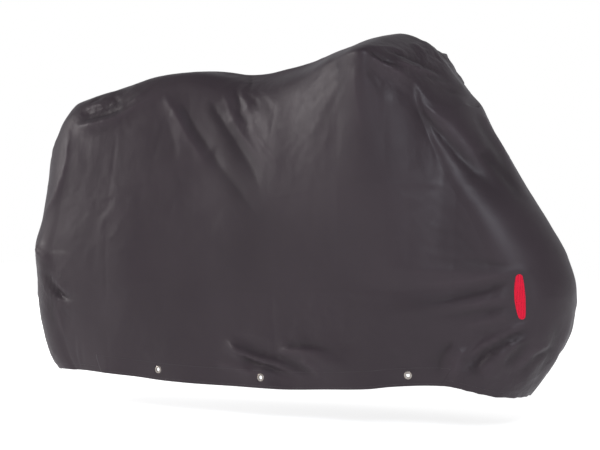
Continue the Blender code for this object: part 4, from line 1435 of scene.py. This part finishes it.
# %% Shape the reflector
REFLECTOR_HEIGHT = 0.130
REFLECTOR_WIDTH = 0.031
REFLECTOR_END_WIDTH = 0.017
REAR_BULGE = 0.68
REFLECTOR_LEAN = math.radians(0.8)
REFLECTOR_THICKNESS = 0.0010
WELD_INSET = 0.0028
WELD_WIDTH = 0.0008
WELD_DEPTH = 0.00035
CROWN_HEIGHT = 0.00045
CROWN_REACH = 0.008
CROWN_ROUNDNESS = 0.7
CELLS_ACROSS = 26
CELLS_UP = 96
BLUNT_END = 0.30
RIM_STEP = 0.00035
RIM_GROWTH = (1.02, 1.004, 1)
RIM_WALL = 0.00055
SHARP_ANGLE = math.radians(50)

deselect_all()
bpy.ops.mesh.primitive_grid_add(
    x_subdivisions=CELLS_ACROSS,
    y_subdivisions=CELLS_UP,
    size=1.0,
    location=(0, 0, 0),
)
red_reflector = bpy.context.object
red_reflector.name = "red_reflector"
flat = np.zeros(len(red_reflector.data.vertices) * 3)
red_reflector.data.vertices.foreach_get("co", flat)
flat = flat.reshape(-1, 3)
share_across = flat[:, 0] * 2
share_up = np.sin(flat[:, 1] * math.pi)
ends = np.clip((1 - np.abs(share_up)) * REFLECTOR_HEIGHT / REFLECTOR_END_WIDTH, 0, 1)
rounding = np.maximum(np.sqrt(1 - (1 - ends) ** 2), BLUNT_END)
bulge = (REFLECTOR_WIDTH - REFLECTOR_END_WIDTH) * (1 - share_up**2)
front_edge = (REFLECTOR_END_WIDTH / 2 + bulge * (1 - REAR_BULGE)) * rounding
rear_edge = -(REFLECTOR_END_WIDTH / 2 + bulge * REAR_BULGE) * rounding
shaped = np.zeros_like(flat)
spread = np.sin(share_across * math.pi / 2)
shaped[:, 0] = (front_edge + rear_edge) / 2 + spread * (front_edge - rear_edge) / 2
shaped[:, 0] += (REFLECTOR_WIDTH - REFLECTOR_END_WIDTH) * (REAR_BULGE - 0.5)
shaped[:, 1] = share_up * REFLECTOR_HEIGHT / 2
to_side = (1 - np.abs(spread)) * (front_edge - rear_edge) / 2
to_end = (1 - np.abs(share_up)) * REFLECTOR_HEIGHT / 2
from_rim = np.minimum(to_side, to_end)
crown = np.clip(from_rim / CROWN_REACH, 0, 1) ** CROWN_ROUNDNESS
shaped[:, 2] = REFLECTOR_THICKNESS + CROWN_HEIGHT * crown
shaped[:, 2] -= WELD_DEPTH * round_profile(from_rim - WELD_INSET, WELD_WIDTH)
red_reflector.data.vertices.foreach_set("co", shaped.ravel())
print("leaf:", len(shaped), "points")

# %% Give the reflector its rim and its seat
start_editing(red_reflector, "EDGE")
select_open_edges()
bpy.ops.mesh.extrude_region_move(TRANSFORM_OT_translate={"value": (0, 0, -RIM_STEP)})
bpy.ops.transform.resize(value=RIM_GROWTH)
bpy.ops.mesh.extrude_region_move(TRANSFORM_OT_translate={"value": (0, 0, -RIM_WALL)})
bpy.ops.mesh.edge_face_add()
stop_editing()
centre, normal, longest = patch_seat
lean = Matrix.Rotation(REFLECTOR_LEAN, 4, "Z")
red_reflector.data.transform(seat_matrix(centre + normal * PATCH_LIFT, normal, longest) @ lean)
red_reflector.data.shade_smooth()
red_reflector.data.set_sharp_from_angle(angle=SHARP_ANGLE)
reflector_size = [round(size * 1000, 1) for size in red_reflector.dimensions]
print("reflector:", len(red_reflector.data.polygons), "faces,", reflector_size, "mm")

# %% [markdown]
# ## Shared surface effects
#
# Three effects are used by more than one finish, so each is a node group: the threads of a plain weave, a
# soft relief of small crumples, and slow blotches of tone. A group gives out only values that change over
# the surface. The shader and its plain settings stay in each material.

# %% Small helpers for node trees
def link_nodes(tree, *pairs):
    for source, target in pairs:
        tree.links.new(source, target)


def object_place(tree):
    return tree.nodes.new("ShaderNodeTexCoord").outputs["Object"]


def point_value(tree, name):
    """The value that a mesh keeps for its points under this name."""
    node = tree.nodes.new("ShaderNodeAttribute")
    node.attribute_name = name
    return node.outputs["Fac"]


def math_node(tree, operation, first, second=None, third=None):
    node = tree.nodes.new("ShaderNodeMath")
    node.operation = operation
    for socket, value in zip(node.inputs, (first, second, third)):
        if value is None:
            continue
        if isinstance(value, (int, float)):
            socket.default_value = value
        else:
            tree.links.new(value, socket)
    return node.outputs[0]


def share_between(tree, value, low, high):
    """From 0 where the value is low to 1 where it is high."""
    node = tree.nodes.new("ShaderNodeMapRange")
    node.inputs["From Min"].default_value = low
    node.inputs["From Max"].default_value = high
    tree.links.new(value, node.inputs["Value"])
    return node.outputs[0]


def scaled_place(tree, given, rate):
    """The place given to a group, times the rate given to it under this name."""
    scaled = tree.nodes.new("ShaderNodeVectorMath")
    scaled.operation = "SCALE"
    tree.links.new(given.outputs["Place"], scaled.inputs[0])
    tree.links.new(given.outputs[rate], scaled.inputs["Scale"])
    return scaled.outputs[0]


def new_group(name, inputs, outputs):
    """A node group with named sockets. Returns the tree and its input and output nodes."""
    group = bpy.data.node_groups.new(name, "ShaderNodeTree")
    for label, kind, value in inputs:
        socket = group.interface.new_socket(name=label, in_out="INPUT", socket_type=kind)
        if value is not None:
            socket.default_value = value
    for label, kind in outputs:
        group.interface.new_socket(name=label, in_out="OUTPUT", socket_type=kind)
    return group, group.nodes.new("NodeGroupInput"), group.nodes.new("NodeGroupOutput")


# %% Plain weave
THREAD_SHADE = 0.22
DARKEST_SHADE = 0.88


def make_weave():
    """Threads of a plain weave on a flat map in metres: a height, and the shade between the threads."""
    group, given, out = new_group(
        "plain_weave",
        (("Map", "NodeSocketVector", None), ("Threads per metre", "NodeSocketFloat", 1400.0)),
        (("Height", "NodeSocketFloat"), ("Shade", "NodeSocketFloat")),
    )
    split = group.nodes.new("ShaderNodeSeparateXYZ")
    link_nodes(group, (given.outputs["Map"], split.inputs[0]))
    rate = math_node(group, "MULTIPLY", given.outputs["Threads per metre"], math.pi)
    warp = math_node(group, "SINE", math_node(group, "MULTIPLY", split.outputs["X"], rate))
    weft = math_node(group, "SINE", math_node(group, "MULTIPLY", split.outputs["Y"], rate))
    over = math_node(group, "MULTIPLY", warp, weft)
    over = math_node(group, "MULTIPLY_ADD", over, 0.5, 0.5)
    round_warp = math_node(group, "ABSOLUTE", warp)
    round_weft = math_node(group, "ABSOLUTE", weft)
    first = math_node(group, "MULTIPLY", over, round_warp)
    rest = math_node(group, "SUBTRACT", 1.0, over)
    second = math_node(group, "MULTIPLY", rest, round_weft)
    height = math_node(group, "ADD", first, second)
    link_nodes(group, (height, out.inputs["Height"]))
    shade = math_node(group, "MULTIPLY_ADD", height, THREAD_SHADE, DARKEST_SHADE)
    link_nodes(group, (shade, out.inputs["Shade"]))
    return group


# %% Crumples and blotches
# scale, detail and roughness of the noises
CRUMPLE_SWELL = (0.8, 2.0, 0.50)
CRUMPLE_WEB = (1.0, 3.0, 0.55)
BLOTCH_NOISE = (1.0, 4.0, 0.60)
WEB_SHARPNESS = 5.0
RIDGE_SHARE = 0.35
BLOTCH_EDGES = (0.32, 0.68)


def noise_node(tree, vector, scale, detail, rough):
    node = tree.nodes.new("ShaderNodeTexNoise")
    node.inputs["Scale"].default_value = scale
    node.inputs["Detail"].default_value = detail
    node.inputs["Roughness"].default_value = rough
    link_nodes(tree, (vector, node.inputs["Vector"]))
    return node.outputs[0]


def make_crumples():
    """Small crumples of thin coated cloth: a web of fine ridges over a soft swell."""
    group, given, out = new_group(
        "small_crumples",
        (("Place", "NodeSocketVector", None), ("Lumps per metre", "NodeSocketFloat", 26.0)),
        (("Height", "NodeSocketFloat"), ("Ridge", "NodeSocketFloat")),
    )
    place = scaled_place(group, given, "Lumps per metre")
    swell = noise_node(group, place, *CRUMPLE_SWELL)
    web = noise_node(group, place, *CRUMPLE_WEB)
    folded = math_node(group, "ABSOLUTE", math_node(group, "SUBTRACT", web, 0.5))
    ridge = math_node(group, "SUBTRACT", 1.0, math_node(group, "MULTIPLY", folded, WEB_SHARPNESS))
    ridge = math_node(group, "MAXIMUM", ridge, 0.0)
    height = math_node(group, "MULTIPLY_ADD", ridge, RIDGE_SHARE, swell)
    link_nodes(group, (height, out.inputs["Height"]), (ridge, out.inputs["Ridge"]))
    return group


def make_blotches():
    """Slow blotches of tone, from 0 to 1."""
    group, given, out = new_group(
        "slow_blotches",
        (("Place", "NodeSocketVector", None), ("Blotches per metre", "NodeSocketFloat", 3.0)),
        (("Amount", "NodeSocketFloat"),),
    )
    blot = noise_node(group, scaled_place(group, given, "Blotches per metre"), *BLOTCH_NOISE)
    link_nodes(group, (share_between(group, blot, *BLOTCH_EDGES), out.inputs["Amount"]))
    return group


weave_group = make_weave()
crumple_group = make_crumples()
blotch_group = make_blotches()
print("groups:", [group.name for group in bpy.data.node_groups])

# %% [markdown]
# ## Coated cloth
#
# The cloth is a dense plain weave of dull plum-grey polyester with a thin coating, so it is matt from the
# front and shines softly where it turns away. Crests are rubbed a little lighter, the bottoms of the
# creases get a painted shade, and slow blotches keep the large panels from looking printed. Where the cloth
# is bunched up, deeper puckers lie over the small crumples. The weave follows the cloth's own map, in
# metres, so that the threads run along and down the panels.

# %% Helpers for finishes
def new_material(name, roughness, metallic=0.0):
    """A plain material. Its roughness stands until a finish links something to it."""
    made = bpy.data.materials.new(name)
    made.use_nodes = True
    shader = made.node_tree.nodes["Principled BSDF"]
    shader.inputs["Roughness"].default_value = roughness
    shader.inputs["Metallic"].default_value = metallic
    return made, made.node_tree, shader


def group_node(tree, group, **values):
    node = tree.nodes.new("ShaderNodeGroup")
    node.node_tree = group
    for label, value in values.items():
        node.inputs[label.replace("_", " ")].default_value = value
    return node


def mix_colours(tree, amount, first, second):
    node = tree.nodes.new("ShaderNodeMix")
    node.data_type = "RGBA"
    node.clamp_factor = True
    for socket, value in ((node.inputs[0], amount), (node.inputs[6], first), (node.inputs[7], second)):
        if isinstance(value, (int, float)):
            socket.default_value = value
        elif isinstance(value, tuple):
            socket.default_value = (*value, 1.0)
        else:
            tree.links.new(value, socket)
    return node.outputs[2]


def bump_node(tree, height, distance, share, normal=None):
    node = tree.nodes.new("ShaderNodeBump")
    node.inputs["Distance"].default_value = distance
    node.inputs["Strength"].default_value = share
    tree.links.new(height, node.inputs["Height"])
    if normal is not None:
        tree.links.new(normal, node.inputs["Normal"])
    return node.outputs[0]


def blotched_tone(tree, place, rate, first, second):
    """A tone that wanders between two, and how far it has wandered."""
    blotches = group_node(tree, blotch_group, Blotches_per_metre=rate)
    link_nodes(tree, (place, blotches.inputs["Place"]))
    amount = blotches.outputs["Amount"]
    return mix_colours(tree, amount, first, second), amount


# %% Finish of the cloth
CLOTH_LIGHT = (0.0465, 0.0335, 0.0415)
CLOTH_DARK = (0.0385, 0.0275, 0.0345)
THREAD_GAP = (0.010, 0.009, 0.011)
RUBBED_SHARE, RUBBED_TONE = 0.30, 1.55
# painted shade in the bottoms of the creases: how much of it, and its dark tone
CREASE_SHADE_SHARE, CREASE_SHADE_TONE = 0.38, 0.45
CLOTH_ROUGHNESS = 0.45
BLOTCH_ROUGHNESS = 0.07
RIDGE_ROUGHNESS = -0.05
# height in metres and strength of the cloth's fine relief
CRUMPLE_BUMP = (0.0010, 0.20)
PUCKER_BUMP = (0.0080, 0.35)
WEAVE_BUMP = (0.00012, 0.35)


def coated_cloth(name):
    material, tree, shader = new_material(name, 0.46)
    shader.inputs["Sheen Weight"].default_value = 0.10
    shader.inputs["Sheen Roughness"].default_value = 0.42
    shader.inputs["Sheen Tint"].default_value = (0.80, 0.78, 0.88, 1.0)
    shader.inputs["Specular IOR Level"].default_value = 0.38
    place = object_place(tree)
    own_map = tree.nodes.new("ShaderNodeUVMap")
    own_map.uv_map = "cloth"
    weave = group_node(tree, weave_group, Threads_per_metre=1500.0)
    crumples = group_node(tree, crumple_group, Lumps_per_metre=24.0)
    puckers = group_node(tree, crumple_group, Lumps_per_metre=15.0)
    link_nodes(
        tree,
        (own_map.outputs[0], weave.inputs["Map"]),
        (place, crumples.inputs["Place"]),
        (place, puckers.inputs["Place"]),
    )
    # tone: blotches, rubbed crests, painted shade in the bottoms of the creases and the gaps between the
    # threads
    tone, blotches = blotched_tone(tree, place, 3.2, CLOTH_DARK, CLOTH_LIGHT)
    crest_mark = point_value(tree, "crest")
    rubbed = math_node(tree, "MULTIPLY", math_node(tree, "MAXIMUM", crest_mark, 0.0), RUBBED_SHARE)
    tone = mix_colours(tree, rubbed, tone, tuple(value * RUBBED_TONE for value in CLOTH_LIGHT))
    # painted shade: the bottoms of the creases are darkened in the colour itself, where shade falls
    depth = math_node(tree, "MAXIMUM", math_node(tree, "MULTIPLY", crest_mark, -1.0), 0.0)
    painted_crease_shade = math_node(tree, "MULTIPLY", depth, CREASE_SHADE_SHARE)
    tone = mix_colours(tree, painted_crease_shade, tone, tuple(value * CREASE_SHADE_TONE for value in CLOTH_DARK))
    gap = math_node(tree, "SUBTRACT", 1.0, weave.outputs["Shade"])
    tone = mix_colours(tree, gap, tone, THREAD_GAP)
    # shine: rougher where the blotches are strong, smoother on the ridges of the crumples
    rough = math_node(tree, "MULTIPLY_ADD", blotches, BLOTCH_ROUGHNESS, CLOTH_ROUGHNESS)
    rough = math_node(tree, "MULTIPLY_ADD", crumples.outputs["Ridge"], RIDGE_ROUGHNESS, rough)
    # relief: crumples, puckers where the cloth is bunched up, and the weave on top
    relief = bump_node(tree, crumples.outputs["Height"], *CRUMPLE_BUMP)
    pucker = math_node(tree, "MULTIPLY", puckers.outputs["Height"], point_value(tree, "bunched"))
    relief = bump_node(tree, pucker, *PUCKER_BUMP, relief)
    relief = bump_node(tree, weave.outputs["Height"], *WEAVE_BUMP, relief)
    link_nodes(
        tree,
        (tone, shader.inputs["Base Color"]),
        (rough, shader.inputs["Roughness"]),
        (relief, shader.inputs["Normal"]),
    )
    return material


cover_finish = coated_cloth("plum_grey_coated_cloth")
print("cloth finish:", cover_finish.name)

# %% [markdown]
# ## Thread, metal and film
#
# The thread is a twisted polyester, the eyelets are nickelled brass that has lost some of its polish, and
# the reflector is a red film with a fine honeycomb of sealed cells under a smooth face.

# %% Finish of the thread
def thread_finish():
    material, tree, shader = new_material("sewing_thread", 0.55)
    shader.inputs["Sheen Weight"].default_value = 0.3
    place = object_place(tree)
    twist = tree.nodes.new("ShaderNodeTexWave")
    twist.inputs["Scale"].default_value = 900.0
    twist.inputs["Distortion"].default_value = 1.5
    tone, _ = blotched_tone(tree, place, 40.0, (0.048, 0.038, 0.045), (0.064, 0.052, 0.060))
    relief = bump_node(tree, twist.outputs["Fac"], 0.0001, 0.5)
    link_nodes(
        tree,
        (place, twist.inputs["Vector"]),
        (tone, shader.inputs["Base Color"]),
        (relief, shader.inputs["Normal"]),
    )
    return material


# %% Finish of the eyelets
NICKEL_ROUGHNESS = 0.26
DULLED_ROUGHNESS = 0.16
SCRATCH_ROUGHNESS = 0.10


def eyelet_finish():
    material, tree, shader = new_material("dulled_nickel", 0.34, 1.0)
    place = object_place(tree)
    scratches = noise_node(tree, place, 2600.0, 3.0, 0.7)
    tone, dulled = blotched_tone(tree, place, 160.0, (0.52, 0.49, 0.46), (0.40, 0.35, 0.31))
    rough = math_node(tree, "MULTIPLY_ADD", dulled, DULLED_ROUGHNESS, NICKEL_ROUGHNESS)
    rough = math_node(tree, "MULTIPLY_ADD", scratches, SCRATCH_ROUGHNESS, rough)
    relief = bump_node(tree, scratches, 0.00008, 0.4)
    link_nodes(
        tree,
        (tone, shader.inputs["Base Color"]),
        (rough, shader.inputs["Roughness"]),
        (relief, shader.inputs["Normal"]),
    )
    return material


# %% Finish of the reflector
WALL_TO_CELL = (0.0, 0.09)
WALL_TONE = (0.38, 0.004, 0.014)
WALL_ROUGHNESS = 0.42
CELL_ROUGHNESS = -0.14


def reflector_finish():
    material, tree, shader = new_material("red_cell_film", WALL_ROUGHNESS)
    shader.inputs["Specular IOR Level"].default_value = 0.15
    place = object_place(tree)
    cells = tree.nodes.new("ShaderNodeTexVoronoi")
    cells.feature = "DISTANCE_TO_EDGE"
    cells.inputs["Scale"].default_value = 310.0
    cells.inputs["Randomness"].default_value = 0.25
    inside_cell = share_between(tree, cells.outputs["Distance"], *WALL_TO_CELL)
    tone, _ = blotched_tone(tree, place, 30.0, (0.88, 0.012, 0.048), (0.94, 0.015, 0.060))
    tone = mix_colours(tree, inside_cell, WALL_TONE, tone)
    rough = math_node(tree, "MULTIPLY_ADD", inside_cell, CELL_ROUGHNESS, WALL_ROUGHNESS)
    relief = bump_node(tree, inside_cell, 0.00015, 0.4)
    link_nodes(
        tree,
        (place, cells.inputs["Vector"]),
        (tone, shader.inputs["Base Color"]),
        (rough, shader.inputs["Roughness"]),
        (relief, shader.inputs["Normal"]),
    )
    return material


thread = thread_finish()
nickel = eyelet_finish()
red_film = reflector_finish()
print("finishes:", [material.name for material in (thread, nickel, red_film)])

# %% Give every piece its finish
def finish_with(made, material):
    made.data.materials.clear()
    made.data.materials.append(material)


finish_with(draped_cloth, cover_finish)
finish_with(hem_stitches, thread)
finish_with(red_reflector, red_film)
for side in SIDES:
    finish_with(hem_bands[side], cover_finish)
    finish_with(band_stitches[side], thread)
for made in eyelet_rings.values():
    finish_with(made, nickel)
print("the cloth takes", draped_cloth.data.materials[0].name)

# %% [markdown]
# ## Studio
#
# A plain pale floor runs far back into a white room. Both look white to the camera, so no horizon shows
# between them. What they throw back onto the cloth is set apart from that: the floor glows only half as
# much there, and the room is dimmer overhead than at the sides. A soft lamp far behind the rear end grazes
# the near side, which gives the folds their shade, a cooler one fills them from the front, and a low one
# lights the far side.

# %% Floor
FLOOR_HALF = 7.0
FLOOR_SEEN = 0.76
FLOOR_BOUNCE = 0.38
WHITE = (1.0, 1.0, 1.0, 1.0)


def seen_directly(tree):
    """One where the camera looks straight at a surface, zero where light only bounces off it."""
    return tree.nodes.new("ShaderNodeLightPath").outputs["Is Camera Ray"]


deselect_all()
bpy.ops.mesh.primitive_plane_add(size=2 * FLOOR_HALF, location=(0, 0, FLOOR_HEIGHT))
floor = bpy.context.object
floor.name = "studio_floor"
floor.data.transform(floor.matrix_world)
floor.matrix_world = Matrix.Identity(4)
floor_finish, floor_tree, floor_shader = new_material("pale_floor_paint", 0.85)
floor_spread = noise_node(floor_tree, object_place(floor_tree), 1.5, 3.0, 0.5)
floor_tone = mix_colours(floor_tree, floor_spread, (0.87, 0.87, 0.87), (0.90, 0.90, 0.90))
floor_shader.inputs["Emission Color"].default_value = WHITE
floor_seen = seen_directly(floor_tree)
floor_glow = math_node(floor_tree, "MULTIPLY_ADD", floor_seen, FLOOR_SEEN - FLOOR_BOUNCE, FLOOR_BOUNCE)
link_nodes(
    floor_tree,
    (floor_tone, floor_shader.inputs["Base Color"]),
    (floor_glow, floor_shader.inputs["Emission Strength"]),
)
finish_with(floor, floor_finish)
print("floor:", 2 * FLOOR_HALF, "m wide")

# %% Lamps
def soft_lamp(name, place, target, size, power, colour):
    lamp = bpy.data.lights.new(name, "AREA")
    lamp.shape = "DISK"
    lamp.size = size
    lamp.energy = power
    lamp.color = colour
    made = add_to_scene(name, lamp)
    made.location = place
    made.rotation_euler = (Vector(target) - Vector(place)).to_track_quat("-Z", "Y").to_euler()


soft_lamp("key_lamp", (-6.0, -1.9, 1.3), (-0.2, 0, -0.6), 1.3, 84.0, (1.0, 0.950, 0.950))
soft_lamp("front_lamp", (2.6, -4.2, 2.2), (0.1, 0, -0.4), 1.8, 102.0, (0.89, 0.92, 1.0))
soft_lamp("far_lamp", (-3.6, 4.4, -0.3), (-0.2, 0, -0.6), 1.3, 90.0, (0.97, 0.98, 1.0))
print("lamps:", [lamp.name for lamp in bpy.data.lights])

# %% Room
ROOM_LIGHT = 0.50
CEILING_LIGHT = 0.20
room = bpy.data.worlds.new("white_room")
room.use_nodes = True
room_tree = room.node_tree
back = room_tree.nodes["Background"]
back.inputs["Color"].default_value = WHITE
split = room_tree.nodes.new("ShaderNodeSeparateXYZ")
direction = room_tree.nodes.new("ShaderNodeTexCoord").outputs["Generated"]
overhead = math_node(room_tree, "MAXIMUM", split.outputs["Z"], 0.0)
glow = math_node(room_tree, "MULTIPLY_ADD", overhead, CEILING_LIGHT - ROOM_LIGHT, ROOM_LIGHT)
glow = math_node(room_tree, "MAXIMUM", glow, seen_directly(room_tree))
link_nodes(room_tree, (direction, split.inputs[0]), (glow, back.inputs["Strength"]))
bpy.context.scene.world = room
bpy.context.scene.view_settings.view_transform = "Standard"
print("world:", bpy.context.scene.world.name)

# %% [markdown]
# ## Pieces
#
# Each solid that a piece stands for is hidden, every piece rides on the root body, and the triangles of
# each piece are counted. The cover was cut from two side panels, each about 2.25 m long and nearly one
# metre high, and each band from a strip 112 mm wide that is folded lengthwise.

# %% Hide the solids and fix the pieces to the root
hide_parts("cover_cloth")
for side in SIDES:
    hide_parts(f"hem_strip_{side}")
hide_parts("reflector_patch")
for (side, place), made in eyelet_rings.items():
    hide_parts(f"eyelet_{side}_{place}")
pieces = [draped_cloth, hem_stitches, red_reflector]
pieces += [*hem_bands.values(), *band_stitches.values(), *eyelet_rings.values()]
for made in pieces:
    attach(made, "root")
triangles = 0
for made in pieces:
    made.data.calc_loop_triangles()
    triangles += len(made.data.loop_triangles)
    print(made.name, len(made.data.loop_triangles))
print("pieces:", len(pieces), "triangles:", triangles)

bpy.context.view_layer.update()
